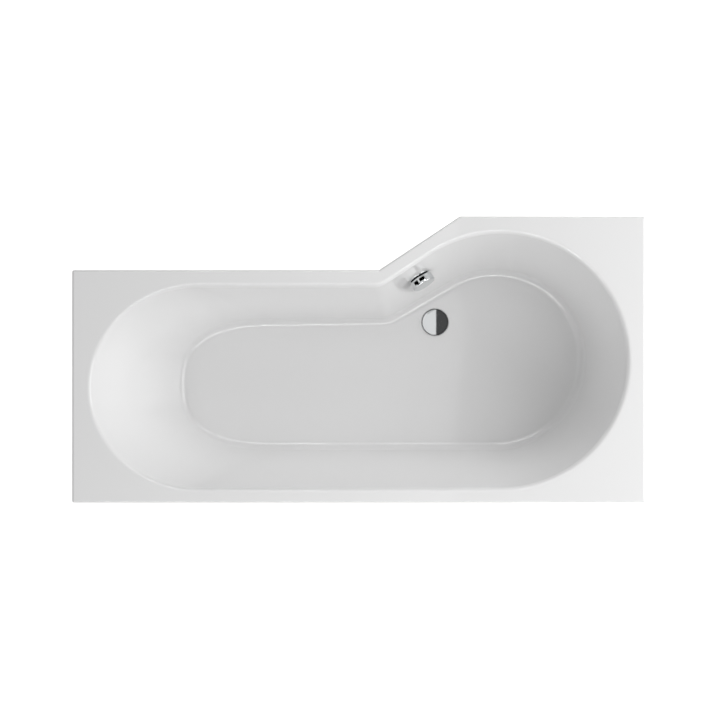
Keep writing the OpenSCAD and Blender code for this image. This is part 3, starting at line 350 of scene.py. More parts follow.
def mesh_piece(name, points, faces, sharp=SHARP):
    """A mesh object, smooth except where its faces meet at more than a given angle."""
    mesh = bpy.data.meshes.new(name)
    mesh.from_pydata([tuple(p) for p in points], [], faces)
    bm = bmesh.new()
    bm.from_mesh(mesh)
    bmesh.ops.recalc_face_normals(bm, faces=bm.faces)
    bm.to_mesh(mesh)
    bm.free()
    mesh.polygons.foreach_set("use_smooth", [True] * len(mesh.polygons))
    mesh.set_sharp_from_angle(angle=math.radians(sharp))
    made = bpy.data.objects.new(name, mesh)
    bpy.context.scene.collection.objects.link(made)
    return made


def skin(name, rows, sharp=SHARP):
    """A closed skin through rows of stations; the last row joins the first."""
    n, m = len(rows[0]), len(rows)
    faces = [(r * n + i, (r + 1) % m * n + i, (r + 1) % m * n + (i + 1) % n, r * n + (i + 1) % n)
             for r in range(m) for i in range(n)]
    return mesh_piece(name, np.concatenate(rows), faces, sharp)


def worked(piece, kind, tool=None, **settings):
    """Applies one modifier to a mesh, and throws away the tool that it was worked with."""
    step = piece.modifiers.new(kind, kind)
    if tool:
        step.object = tool
    for key, value in settings.items():
        setattr(step, key, value)
    bpy.context.view_layer.update()
    done = bpy.data.meshes.new_from_object(piece.evaluated_get(bpy.context.evaluated_depsgraph_get()))
    piece.modifiers.clear()
    piece.data = done
    done.set_sharp_from_angle(angle=math.radians(SHARP))
    if tool:
        bpy.data.objects.remove(tool)


def cut(piece, tool):
    worked(piece, "BOOLEAN", tool, operation="DIFFERENCE", solver="EXACT")


def revolved(profile, turns=96):
    """A closed outline of (radius, height) in millimetres, spun about Z. A radius or height may also be
    a function of the angle, as on a ribbed nut. Points on the axis are shared."""
    points, rows = [], []
    angles = [2 * math.pi * i / turns for i in range(turns)]
    for r, z in profile:
        if not callable(r) and abs(r) < 1e-4:
            rows.append([len(points)] * turns)
            points.append((0, 0, z))
        else:
            rows.append(list(range(len(points), len(points) + turns)))
            for a in angles:
                reach, height = (v(a) if callable(v) else v for v in (r, z))
                points.append((reach * math.cos(a), reach * math.sin(a), height))
    faces = []
    for a, b in zip(rows, rows[1:] + rows[:1]):
        for i in range(turns):
            j = (i + 1) % turns
            face = list(dict.fromkeys([a[i], b[i], b[j], a[j]]))
            if len(face) > 2:
                faces.append(face)
    return points, faces


def joined(name, shapes, sharp=SHARP):
    """One mesh from several shapes in millimetres, each with its place in metres."""
    points, faces = [], []
    for (own_points, own_faces), place in shapes:
        faces += [[i + len(points) for i in face] for face in own_faces]
        points += [place @ (Vector(p) * mm) for p in own_points]
    return mesh_piece(name, points, faces, sharp)


def spun(name, profile, place=Matrix(), turns=96):
    return joined(name, [(revolved(profile, turns), place)])


def rod(r, z0, z1):
    """The outline of a plain round bar or drill."""
    return [(0, z0), (r, z0), (r, z1), (0, z1)]


# Shares of the way down the wall and over the floor at which the rows of a face lie
WALL = [0.015, 0.05, *np.linspace(0.1, 0.9, 13), 0.95, 0.985]
FLOOR = [0.01, 0.04, *np.linspace(0.08, 0.9, 16), 0.95, 0.985, 1]
WALL_BEHIND = np.linspace(0.1, 0.9, 5)
FLOOR_BEHIND = [0.05, 0.3, 0.6, 0.9, 1]
beside = 1 * mm         # from an edge to the row that keeps the flat beside it from being shaded round
seat_r = waste_flange_r + 0.6 * mm
seat_edge_r = 2.5 * mm
seat_z = floor_z - 4 * mm
hole_r = 27 * mm
hole_chamfer = 0.5 * mm
boss_r = waste_flange_r + 8 * mm
boss_z = seat_z - acrylic_t

face = [level(rim_ring(0), z) for z in (lip_z, lip_z + beside, rim_z - edge_r - beside)]
for a in np.radians(np.linspace(0, 90, 8)):
    face.append(level(rim_ring(edge_r * (1 - math.cos(a))), rim_z - edge_r * (1 - math.sin(a))))
bowl_face = bowl_rows(0, edge_z, 14, WALL, 16)
face += between(face[-1], bowl_face[0], [0.03, 0.3, 0.7, 0.97]) + bowl_face
face += floor_rows(bowl_face[-1], seat_r + seat_edge_r, 0, FLOOR)
floor_at_seat = face[-1][:, 2]
for a in np.radians(np.linspace(15, 90, 6)):
    reach = seat_r + seat_edge_r * (1 - math.sin(a))
    face.append(waste_circle(reach, floor_at_seat - seat_edge_r * (1 - math.cos(a))))
face += [waste_circle(seat_r, seat_z), waste_circle(hole_r + hole_chamfer, seat_z)]
face += [waste_circle(hole_r, seat_z - hole_chamfer), waste_circle(hole_r, boss_z)]
bowl_back = bowl_rows(acrylic_t, edge_z - acrylic_t, 6, WALL_BEHIND, 6)
floor_back = floor_rows(bowl_back[-1], boss_r, acrylic_t, FLOOR_BEHIND)
back = [waste_circle(boss_r, boss_z)] + floor_back[::-1] + bowl_back[::-1]
back += [level(rim_ring(acrylic_t), rim_z - acrylic_t), level(rim_ring(acrylic_t), lip_z)]
shell = skin("bath_shell", face + back)


def axes(x, y, z, origin):
    """The place whose own X, Y and Z run along three given directions."""
    return Matrix.Translation(origin) @ Matrix((x, y, z)).transposed().to_4x4()


# Hole for the overflow, square to the diagonal wall, with a flat spot for its ring
spot_r = 33
spot_depth = 0.8
overflow_hole_r = 26
knob_joint = next(j for j in frame["joints"] if j["name"] == "knob_turn")
overflow_p = Vector(knob_joint["pos_m"])
overflow_n = Vector(knob_joint["axis"]).normalized()
overflow_side = Vector((0, 0, 1)).cross(overflow_n).normalized()
at_overflow = axes(overflow_side.cross(overflow_n), overflow_side, overflow_n, overflow_p)


def overflow_drill():
    return spun("drill", rod(overflow_hole_r, -30, 20), at_overflow)


cut(shell, spun("spot_cutter", rod(spot_r, -spot_depth, 20), at_overflow))
cut(shell, overflow_drill())


def srgb(hexcode):
    """A colour written as sRGB hex, as the linear values that the shader takes."""
    parts = [int(hexcode[i:i + 2], 16) / 255 for i in (0, 2, 4)]
    return (*[p / 12.92 if p <= 0.04045 else ((p + 0.055) / 1.055) ** 2.4 for p in parts], 1)


def new_material(name, **inputs):
    """A material with one Principled shader; inputs are its sockets, with _ for a space."""
    made = bpy.data.materials.new(name)
    made.use_nodes = True
    shader = made.node_tree.nodes["Principled BSDF"]
    for key, value in inputs.items():
        shader.inputs[key.replace("_", " ")].default_value = value
    return made, shader.inputs


def node(material, kind, inputs={}, to=(), out=0, **settings):
    """Adds a shader node with its settings. An input is a plain value or another node's output, and
    to lists the sockets that its own output feeds."""
    made = material.node_tree.nodes.new("ShaderNode" + kind)
    for key, value in settings.items():
        setattr(made, key, value)
    for key, value in inputs.items():
        if isinstance(value, bpy.types.NodeSocket):
            material.node_tree.links.new(value, made.inputs[key])
        else:
            made.inputs[key].default_value = value
    for socket in to:
        material.node_tree.links.new(made.outputs[out], socket)
    return made.outputs[out]


def fit(piece, body, slot, material, *nodes):
    """Gives a piece its finish and its body, in the place of its CAD nodes."""
    piece.data.materials.clear()
    piece.data.materials.append(material)
    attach(piece, body)
    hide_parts(*nodes)


# Vacuum-formed cast acrylic: it keeps the gloss of the sheet, over a very faint waviness that the
# drawn stretches pick up from the mould, and its white has no tint.
acrylic, sockets = new_material("cast_acrylic_vacuum_formed", Base_Color=srgb("F3F3F3"), Roughness=0.045,
                                IOR=1.49)
where = node(acrylic, "TexCoord", out=3)
wave = node(acrylic, "TexNoise", {"Vector": where, "Scale": 1 / (55 * mm), "Detail": 1.0})
node(acrylic, "Bump", {"Height": wave, "Strength": 0.2, "Distance": 0.15 * mm}, to=[sockets["Normal"]])
fit(shell, "root", "acrylic", acrylic, "acrylic_shell")

# ---- Glass-fibre backing -----------------------------------------------------------------------
# Polyester resin and chopped strands, sprayed on the back of the acrylic and rolled out by hand. It
# is 3.5 mm thick and uneven, but flat round the overflow and under the floor, where the board goes.

glass_t = 3.5 * mm
behind = acrylic_t + glass_t
glass_in = acrylic_t + 2 * mm
flat_z = floor_z - behind
waste_gap = 0.5 * mm

front = [level(rim_ring(glass_in), rim_z - acrylic_t)] + bowl_back
front += floor_rows(bowl_back[-1], boss_r + waste_gap, acrylic_t, FLOOR_BEHIND)
rim_rear = level(rim_ring(glass_in), rim_z - behind)
rear = bowl_rows(behind, flat_z, 6, np.linspace(0.02, 0.98, 44), 8)
rear_hole = waste_circle(boss_r + waste_gap, flat_z)
rear = [rim_rear] + between(rim_rear, rear[0], np.linspace(0.15, 0.85, 4)) + rear
rear += between(rear[-1], rear_hole, np.linspace(0.04, 0.96, 24)) + [rear_hole]
backing = skin("glass_fibre_backing", front + rear[::-1])

# Hand rolling leaves broad waves, and the strands leave lumps. Both are sunk into the rear face, and
# hardly any of them is left under the floor.
wave_size, wave_depth = 70 * mm, 0.7
lump_size, lump_depth = 13 * mm, 1.1
under_floor = 0.05
outward = [(v, v.co.copy(), v.normal.copy()) for v in backing.data.vertices[len(front) * len(bowl_ring):]]
for vertex, p, normal in outward:
    wave = 0.5 + 0.5 * noise.noise(p / wave_size)
    lump = abs(noise.noise(p / lump_size + Vector((7, 3, 1))))
    share = under_floor if p.z < flat_z + 1 * mm else 1
    vertex.co = p - normal * (wave_depth * wave + lump_depth * lump) * share * mm


def weld(piece, tool):
    worked(piece, "BOOLEAN", tool, operation="UNION", solver="EXACT")


weld(backing, spun("flat_boss", [(0, -9), (37, -9), (38, -8.4), (38, -5), (0, -5)], at_overflow))
cut(backing, overflow_drill())

# Sprayed polyester and glass: dull yellowish resin, with pale bundles of chopped strands lying every
# way in it. A bundle is 25 to 29 mm long, and its threads are drawn 1.6 mm apart so that they show.
WAVE = 0.314            # from crest to crest of a wave texture whose scale is 1
glass, sockets = new_material("polyester_resin_sprayed_with_glass", Roughness=0.42, IOR=1.55)
where = node(glass, "TexCoord", out=3)
strands = []
for bundle, turn in ((29 * mm, 0.0), (25 * mm, 0.37), (27 * mm, 0.71)):
    moved = node(glass, "VectorMath", {0: where, 1: (turn, turn, turn)}, operation="ADD")
    cell = node(glass, "TexVoronoi", {"Vector": moved, "Scale": 1 / bundle}, out=1)
    spin = node(glass, "VectorMath", {0: cell, 1: (6.3, 6.3, 6.3)}, operation="MULTIPLY")
    lying = node(glass, "VectorRotate", {"Vector": moved, "Rotation": spin}, rotation_type="EULER_XYZ")
    thread = node(glass, "TexWave", {"Vector": lying, "Scale": WAVE / (1.6 * mm), "Distortion": 0.6,
                                     "Detail": 1.0, "Detail Scale": 0.3}, out=1)
    strands.append(node(glass, "MapRange", {"Value": thread, "From Min": 0.72, "From Max": 0.95}))
most = node(glass, "Math", {0: strands[0], 1: strands[1]}, operation="MAXIMUM")
most = node(glass, "Math", {0: most, 1: strands[2]}, operation="MAXIMUM")
cloud = node(glass, "TexNoise", {"Vector": where, "Scale": 1 / (90 * mm), "Detail": 4.0})
resin = node(glass, "Mix", {"Factor": cloud, 6: srgb("D6D1BA"), 7: srgb("E3E0D1")}, data_type="RGBA", out=2)
pale = node(glass, "Math", {0: most, 1: 0.55}, operation="MULTIPLY")
node(glass, "Mix", {"Factor": pale, 6: resin, 7: srgb("EFEDE3")}, data_type="RGBA", out=2,
     to=[sockets["Base Color"]])
grit = node(glass, "TexNoise", {"Vector": where, "Scale": 1 / (4 * mm), "Detail": 3.0})
height = node(glass, "Math", {0: most, 1: grit}, operation="ADD")
node(glass, "Bump", {"Height": height, "Strength": 0.55, "Distance": 0.5 * mm}, to=[sockets["Normal"]])
fit(backing, "root", "glass_fibre", glass, "fibreglass_backing")

# ---- Base board --------------------------------------------------------------------------------
# A sheet of 18 mm chipboard, sawn to the floor's shape and bonded under it with resin, to stiffen
# the floor and to take the cradle's screws. It is cut away round the waste and the overflow's pipe.


def middle(box):
    """The middle of a box, given as its lowest and its highest corner."""
    low, high = box
    return (low + high) / 2


def prism(outline, z0, z1):
    """A plane outline of (x, y) in millimetres, made solid from z0 to z1."""
    n = len(outline)
    points = [(x, y, z) for z in (z0, z1) for x, y in outline]
    sides = [(i, (i + 1) % n, n + (i + 1) % n, n + i) for i in range(n)]
    return points, [list(range(n)), list(range(n, 2 * n))] + sides


def oblong(x0, x1, half):
    """The outline of a bar along X, that reaches half its width to each side."""
    return [(x0, -half), (x1, -half), (x1, half), (x0, half)]


board_inset = 28
waste_room = 60
pipe_room = 28.5
saw_low, saw_high = 130, 156
pipe_c = middle(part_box("overflow_pipe"))
branch_turn = math.atan2(pipe_c.y - waste_c[1], pipe_c.x - waste_c[0])
at_waste = Matrix.Translation((*waste_c, 0)) @ Matrix.Rotation(branch_turn, 4, "Z")
board_low, board_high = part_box("base_board")
board_edge = (floor_ring + floor_in * board_inset * mm)[::3] / mm
board = joined("base_board_chipboard", [(prism(board_edge, board_low.z / mm, board_high.z / mm), Matrix())])
window = prism(oblong(0, 200, pipe_room), saw_low, saw_high)
for opening in (revolved(rod(waste_room, saw_low, saw_high)), window):
    cut(board, joined("saw", [(opening, at_waste)]))
worked(board, "BEVEL", width=0.8 * mm, segments=2, limit_method="ANGLE", angle_limit=math.radians(50))

# Chipboard: flat wood chips of 2 to 9 mm in brown glue, from straw to dark bark, sanded on the faces
chips, sockets = new_material("chipboard_sawn", Roughness=0.8)
where = node(chips, "TexCoord", out=3)
flat = node(chips, "Mapping", {"Vector": where, "Scale": (1, 1, 2.6)})
big = node(chips, "TexVoronoi", {"Vector": flat, "Scale": 1 / (9 * mm)}, out=1)
small = node(chips, "TexVoronoi", {"Vector": flat, "Scale": 1 / (3.5 * mm)}, out=1)
shade = node(chips, "Mix", {"Factor": 0.5, 6: big, 7: small}, data_type="RGBA", out=2)
tone = node(chips, "RGBToBW", {"Color": shade})
tone = node(chips, "MapRange", {"Value": tone, "From Min": 0.28, "From Max": 0.72})
node(chips, "Mix", {"Factor": tone, 6: srgb("8F6B41"), 7: srgb("D2B283")}, data_type="RGBA", out=2,
     to=[sockets["Base Color"]])
node(chips, "Bump", {"Height": tone, "Strength": 0.6, "Distance": 0.3 * mm}, to=[sockets["Normal"]])
fit(board, "root", "chipboard", chips, "base_board")

# ---- Rim battens -------------------------------------------------------------------------------
# Six lengths of sawn softwood, bonded under the deck with resin. They stiffen the rim, and the one
# on the wall side takes the screws of the wall brackets.

batten_low, batten_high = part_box("batten_wall")
batten_w = batten_high.y - batten_low.y
batten_h = batten_high.z - batten_low.z
batten_in = 6.5 * mm
batten_gap = 12 * mm
arris = 0.8 * mm
roughness_depth = 0.25 * mm


def plank(name, length, place, seed):
    """A sawn batten along its own X, with its arrises just broken and its faces a little uneven."""
    b, w, h = arris, batten_w, batten_h
    section = [(b, 0), (w / 2, 0), (w - b, 0), (w, b), (w, h / 2), (w, h - b),
               (w - b, h), (w / 2, h), (b, h), (0, h - b), (0, h / 2), (0, b)]
    n, steps = len(section), max(2, round(length / (14 * mm)))
    points = []
    for i in range(steps + 1):
        for y, z in section:
            sunk = roughness_depth * (0.5 + 0.5 * noise.noise(Vector((i * 0.9, seed * 5 + y / w, z / h))))
            points.append(Vector((length * i / steps,
                                  y + (w / 2 - y) * sunk / (w / 2),
                                  z + (h / 2 - z) * sunk / (h / 2))))
    sides = [(i * n + k, i * n + (k + 1) % n, (i + 1) * n + (k + 1) % n, (i + 1) * n + k)
             for i in range(steps) for k in range(n)]
    ends = [list(range(n)), list(range(steps * n, steps * n + n))]
    made = mesh_piece(name, [place @ p for p in points], sides + ends, 25)
    grain = made.data.attributes.new("grain", "FLOAT_VECTOR", "POINT")
    for vertex, p in enumerate(points):
        grain.data[vertex].vector = p + Vector((seed * 0.61, seed * 0.013, 0))
    return made


# Rough-sawn pine: growth rings 3 mm wide seen along the log, with fine fibres, and saw marks across
pine, sockets = new_material("pine_rough_sawn", Roughness=0.75)
along = node(pine, "Attribute", attribute_name="grain", out=1)
log = node(pine, "Mapping", {"Vector": along, "Location": (0, 26 * mm, 31 * mm), "Scale": (0.06, 1, 1)})
rings = node(pine, "TexWave", {"Vector": log, "Scale": WAVE / (3 * mm), "Distortion": 1.6, "Detail": 2.0,
                               "Detail Scale": 0.6}, wave_type="RINGS", rings_direction="X", out=1)
fibre = node(pine, "Mapping", {"Vector": along, "Scale": (0.05, 1, 1)})
fibre = node(pine, "TexNoise", {"Vector": fibre, "Scale": 1 / (0.8 * mm), "Detail": 2.0})
mixed = node(pine, "Mix", {"Factor": 0.4, 2: rings, 3: fibre}, out=0)
node(pine, "Mix", {"Factor": mixed, 6: srgb("E0C596"), 7: srgb("B98D57")}, data_type="RGBA", out=2,
     to=[sockets["Base Color"]])
saw = node(pine, "TexWave", {"Vector": along, "Scale": WAVE / (2.5 * mm), "Distortion": 0.8}, out=1)
rough = node(pine, "Math", {0: saw, 1: fibre}, operation="ADD")
node(pine, "Bump", {"Height": rough, "Strength": 0.5, "Distance": 0.25 * mm}, to=[sockets["Normal"]])

along_y = Matrix.Rotation(math.pi / 2, 4, "Z")
for seed, name in enumerate(["wall", "head", "narrow", "wide", "foot"]):
    low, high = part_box("batten_" + name)
    length, place = high.x - low.x, Matrix.Translation(low)
    if high.y - low.y > length:
        length, place = high.y - low.y, Matrix.Translation((high.x, low.y, low.z)) @ along_y
    fit(plank("batten_" + name + "_pine", length, place, seed), "root", "timber", pine, "batten_" + name)
knee = np.array([diagonal_x(narrow_y, 0), narrow_y])
diagonal_len = np.linalg.norm([diagonal_x(wide_y, 0), wide_y] - knee)
start = knee - diagonal_out * (batten_in + batten_w) + diagonal * batten_gap
place = Matrix.Translation((*start, batten_low.z)) @ Matrix.Rotation(math.radians(diagonal_tilt), 4, "Z")
bar = plank("batten_diagonal_pine", diagonal_len - 2 * batten_gap, place, 5)
fit(bar, "root", "timber", pine, "batten_diagonal")

# ---- Cradle ------------------------------------------------------------------------------------
# Two channels and a hat-shaped bracket, folded from 2.5 mm galvanised sheet and screwed up into the
# board. The channels reach past the board on both sides, where the legs stand in them.


def bent_outline(path, t, bend):
    """The outline of a bent sheet, t thick, along its middle line, with its corners bent to a radius."""
    path = [np.array(p, float) for p in path]
    line = [(path[0], turned(unit(path[1] - path[0]), math.pi / 2))]
    for before, corner, after in zip(path, path[1:], path[2:]):
        d0, d1 = unit(corner - before), unit(after - corner)
        turn = math.atan2(d0[0] * d1[1] - d0[1] * d1[0], d0 @ d1)
        side = math.copysign(1, turn)
        mid = corner - d0 * bend * math.tan(abs(turn) / 2) + turned(d0, math.pi / 2) * side * bend
        for share in np.linspace(0, 1, 6):
            n = turned(d0, math.pi / 2 + turn * share)
            line.append((mid - n * side * bend, n))
    line.append((path[-1], turned(unit(path[-1] - path[-2]), math.pi / 2)))
    return [p + n * t / 2 for p, n in line] + [p - n * t / 2 for p, n in line[::-1]]


def folded(name, path, t, bend, length, place):
    """A sheet folded along a middle line in millimetres, with a length in metres."""
    return joined(name, [(prism(bent_outline(path, t, bend), 0, length / mm), place)], 50)


def solids(name):
    """The lowest and highest corner of each separate solid in a CAD node."""
    bm = bmesh.new()
    bm.from_mesh(frame["nodes"][name].data)
    bm.transform(frame["nodes"][name].matrix_world)
    bmesh.ops.remove_doubles(bm, verts=bm.verts, dist=1e-5)
    waiting, found = set(bm.verts), []
    while waiting:
        edge, group = [waiting.pop()], []
        while edge:
            vertex = edge.pop()
            group.append(vertex.co.to_tuple(6))
            for other in (link.other_vert(vertex) for link in vertex.link_edges):
                if other in waiting:
                    waiting.remove(other)
                    edge.append(other)
        found.append((Vector([min(c) for c in zip(*group)]), Vector([max(c) for c in zip(*group)])))
    bm.free()
    return sorted(found, key=lambda box: box[0].to_tuple(4))


stud_hole_r = 5.1
screw_hole_r = 2.2
legs = {}
for name in ("head_wall", "head_front", "foot_wall", "foot_front", "centre"):
    legs[name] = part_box("leg_stud_" + name)
holes = [(middle(box), stud_hole_r) for box in legs.values()]
for name in ("cradle_screws", "wall_bracket_screws"):
    holes += [(middle(box), screw_hole_r) for box in solids(name)]


def drilled(piece, z):
    """Drills the holes of the studs and screws that pass through a piece at about a given height."""
    low = [min(v.co[k] for v in piece.data.vertices) for k in (0, 1)]
    high = [max(v.co[k] for v in piece.data.vertices) for k in (0, 1)]
    shapes = [(revolved(rod(r, -6, 6), 32), Matrix.Translation((p.x, p.y, z))) for p, r in holes
              if low[0] < p.x < high[0] and low[1] < p.y < high[1]]
    cut(piece, joined("drill", shapes))


# Hot-dip galvanised sheet: a dull zinc coat frozen in spangles about 10 mm wide, each with its own
# sheen and its own grey
galvanised, sockets = new_material("sheet_steel_hot_dip_galvanised", Metallic=1.0)
where = node(galvanised, "TexCoord", out=3)
bent = node(galvanised, "TexNoise", {"Vector": where, "Scale": 1 / (8 * mm)}, out=1)
bent = node(galvanised, "VectorMath", {0: bent, 1: (4 * mm, 4 * mm, 4 * mm)}, operation="MULTIPLY")
bent = node(galvanised, "VectorMath", {0: where, 1: bent}, operation="ADD")
spangle = node(galvanised, "TexVoronoi", {"Vector": bent, "Scale": 1 / (10 * mm)}, out=1)
spangle = node(galvanised, "SeparateColor", {"Color": spangle})
node(galvanised, "Mix", {"Factor": spangle, 6: srgb("A9ACAE"), 7: srgb("C6C9CB")}, data_type="RGBA", out=2,
     to=[sockets["Base Color"]])
node(galvanised, "MapRange", {"Value": spangle, "To Min": 0.34, "To Max": 0.52}, to=[sockets["Roughness"]])
grain = node(galvanised, "TexNoise", {"Vector": where, "Scale": 1 / (1.5 * mm)})
node(galvanised, "Bump", {"Height": grain, "Strength": 0.25, "Distance": 0.05 * mm}, to=[sockets["Normal"]])

sheet_t = 2.5
sheet_bend = 3
for name in ("head", "foot"):
    low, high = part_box("cradle_rail_" + name)
    half, tall = (high.x - low.x) / mm / 2 - sheet_t / 2, (high.z - low.z) / mm - sheet_t / 2
    place = axes((1, 0, 0), (0, 0, 1), (0, -1, 0), ((low.x + high.x) / 2, high.y, low.z))
    rail = folded("cradle_rail_" + name + "_folded", [(-half, 0), (-half, tall), (half, tall), (half, 0)],
                  sheet_t, sheet_bend, high.y - low.y, place)
    drilled(rail, high.z)
    fit(rail, "root", "galvanised", galvanised, "cradle_rail_" + name)

hat_half = 26
low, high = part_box("centre_foot_bracket")
reach, web = (high.y - low.y) / mm / 2, hat_half - sheet_t / 2
brim, crown = -sheet_t / 2, sheet_t / 2 - (high.z - low.z) / mm
hat = [(-reach, brim), (-web, brim), (-web, crown), (web, crown), (web, brim), (reach, brim)]
place = axes((0, 1, 0), (0, 0, 1), (1, 0, 0), (low.x, middle((low, high)).y, high.z))
bracket = folded("centre_foot_bracket_folded", hat, sheet_t, sheet_bend, high.x - low.x, place)
drilled(bracket, high.z)
drilled(bracket, low.z)
fit(bracket, "root", "galvanised", galvanised, "centre_foot_bracket")

# ---- Screws ------------------------------------------------------------------------------------
# Zinc-plated pan-head wood screws with a cross recess: eight hold the cradle to the board, and four
# hold the wall brackets to the wall batten.

screw_r = 2.2
head_h = 3
recess_r, recess_half = 2.2, 0.55


def shape_of(piece):
    """Turns a piece back into a shape in millimetres, to be set in many places."""
    shape = ([v.co / mm for v in piece.data.vertices], [list(p.vertices) for p in piece.data.polygons])
    bpy.data.objects.remove(piece)
    return shape


def underside(box, lift=0):
    """The middle of a box's underside, or a point as far above it as the lift."""
    low, high = box
    return Vector(((low.x + high.x) / 2, (low.y + high.y) / 2, low.z + lift))


head = spun("pan_head", [(0, -head_h), (1.6, -2.95), (3.0, -2.5), (3.9, -1.7), (4.4, -0.7), (4.5, 0),
                         (screw_r, 0), (screw_r, 11), (0.3, 13), (0, 13)], turns=48)
bit = prism(oblong(-recess_r, recess_r, recess_half), -4, -1.4)
for turn in (0, math.pi / 2):
    cut(head, joined("bit", [(bit, Matrix.Rotation(turn, 4, "Z"))]))
screw = shape_of(head)

# Zinc plate: bright and even, with a faint blue and straw tint from the passivation
zinc, sockets = new_material("steel_zinc_plated", Metallic=1.0)
where = node(zinc, "TexCoord", out=3)
tint = node(zinc, "TexNoise", {"Vector": where, "Scale": 1 / (6 * mm), "Detail": 3.0})
tint = node(zinc, "MapRange", {"Value": tint, "From Min": 0.35, "From Max": 0.65})
node(zinc, "Mix", {"Factor": tint, 6: srgb("BEC4CC"), 7: srgb("CFCCC0")}, data_type="RGBA", out=2,
     to=[sockets["Base Color"]])
node(zinc, "MapRange", {"Value": tint, "To Min": 0.22, "To Max": 0.34}, to=[sockets["Roughness"]])

for name, group in (("cradle_pan_screws", "cradle_screws"), ("bracket_pan_screws", "wall_bracket_screws")):
    places = []
    for box in solids(group):
        driven = Matrix.Rotation(box[0].x * 40 + box[0].y * 90, 4, "Z")
        places.append((screw, Matrix.Translation(underside(box, head_h * mm)) @ driven))
    fit(joined(name, places), "root", "zinc", zinc, group)

# ---- Feet --------------------------------------------------------------------------------------
# Each foot is a length of M10 zinc-plated threaded rod, held by a hex nut above the steel and one
# below, with a moulded nylon pad screwed on its lower end. Turning the rod sets the bath level.


def threaded(crest, pitch, z0, z1, turns=24):
    """A threaded rod: rows that climb one pitch a turn, crest and root by turns, with chamfered ends."""
    root = crest - 0.61 * pitch
    rows = 2 * math.ceil((z1 - z0) / pitch) + 5
    points, faces = [], []
    for k in range(rows):
        for i in range(turns):
            z = min(max(z0 + pitch * (k / 2 + i / turns - 1), z0), z1)
            r = min(root if k % 2 else crest, root - 0.3 + z1 - z, root - 0.3 + z - z0)
            a = 2 * math.pi * i / turns
            points.append((r * math.cos(a), r * math.sin(a), z))
    for k in range(rows - 1):
        for i in range(turns):
            a, b = k * turns + i, k * turns + i + 1
            if i + 1 == turns:
                b = min(k + 2, rows - 1) * turns
            c = min(b + turns, rows * turns - 1) if i + 1 < turns else min(k + 3, rows - 1) * turns
            faces.append(list(dict.fromkeys((a, b, c, a + turns))))
    ends = [list(range(turns)), list(range((rows - 1) * turns, rows * turns))]
    return points, [f for f in faces if len(f) > 2] + ends


def merged(piece):
    """Joins points that lie on each other, and drops the faces that vanish with them."""
    bm = bmesh.new()
    bm.from_mesh(piece.data)
    bmesh.ops.remove_doubles(bm, verts=bm.verts, dist=1e-6)
    bmesh.ops.dissolve_degenerate(bm, dist=1e-6, edges=bm.edges)
    bmesh.ops.recalc_face_normals(bm, faces=bm.faces)
    bm.to_mesh(piece.data)
    bm.free()


# Nylon, black throughout: a fine matt skin from the spark-eroded mould
nylon, sockets = new_material("nylon_moulded_black", Base_Color=srgb("1B1B1C"), Roughness=0.5, IOR=1.53)
where = node(nylon, "TexCoord", out=3)
skin_grain = node(nylon, "TexNoise", {"Vector": where, "Scale": 1 / (0.9 * mm), "Detail": 2.0})
node(nylon, "Bump", {"Height": skin_grain, "Strength": 0.3, "Distance": 0.05 * mm}, to=[sockets["Normal"]])

thread_r, thread_pitch = 5, 1.5
pad_ribs = 8
pad_outline = [(0, 0), (21.4, 0), (22, 0.3), (23.7, 1.9), (24, 2.4), (24, 4), (23.4, 4.7), (10, 4.9), (9, 6),
               (9, 21.2), (8.4, 22), (5.6, 22), (5.1, 21.4), (5.1, 6), (0, 6)]
rib = prism([(8.5, 4.5), (23.2, 4.5), (12, 10.9), (9, 14.9), (8.5, 14.9)], -1.1, 1.1)
upright = Matrix.Rotation(math.pi / 2, 4, "X")
for name, (low, high) in legs.items():
    stand = Matrix.Translation((*underside((low, high)).xy, 0))
    bar = threaded(thread_r, thread_pitch, low.z / mm, high.z / mm)
    stud = joined("leg_stud_" + name + "_threaded", [(bar, stand)], 30)
    merged(stud)
    fit(stud, "foot_" + name, "zinc", zinc, "leg_stud_" + name)
    pad = spun("foot_pad_" + name + "_ribbed", pad_outline, stand)
    turns = [Matrix.Rotation(math.radians(360 / pad_ribs * k), 4, "Z") for k in range(pad_ribs)]
    weld(pad, joined("ribs", [(rib, stand @ turn @ upright) for turn in turns]))
    fit(pad, "foot_" + name, "black_nylon", nylon, "foot_pad_" + name)

nut_r, nut_h = 9.5, 8
hexagon = [(nut_r * math.cos(a), nut_r * math.sin(a)) for a in np.radians(range(0, 360, 60))]
nut = joined("hex_nut", [(prism(hexagon, 0, nut_h), Matrix())])
turned_bar = [(0, 0), (8.1, 0), (9.6, 0.8), (9.6, nut_h - 0.8), (8.1, nut_h), (0, nut_h)]
worked(nut, "BOOLEAN", spun("turned_bar", turned_bar), operation="INTERSECT", solver="EXACT")
tap_drill = [(0, -1), (6.1, -1), (6.1, 0), (stud_hole_r, 1), (stud_hole_r, nut_h - 1), (6.1, nut_h),
             (6.1, nut_h + 1), (0, nut_h + 1)]
cut(nut, spun("tap_drill", tap_drill))
hex_nut = shape_of(nut)
places = [(hex_nut, Matrix.Translation(underside(box))) for box in solids("leg_nuts")]
fit(joined("leg_hex_nuts", places), "root", "zinc", zinc, "leg_nuts")

# ---- Wall brackets -----------------------------------------------------------------------------
# Two stepped clips, folded from 2 mm galvanised strip and screwed up into the wall batten. Their lower
# legs lie flush with the back of the lip, with two holes each for the screws into the wall.

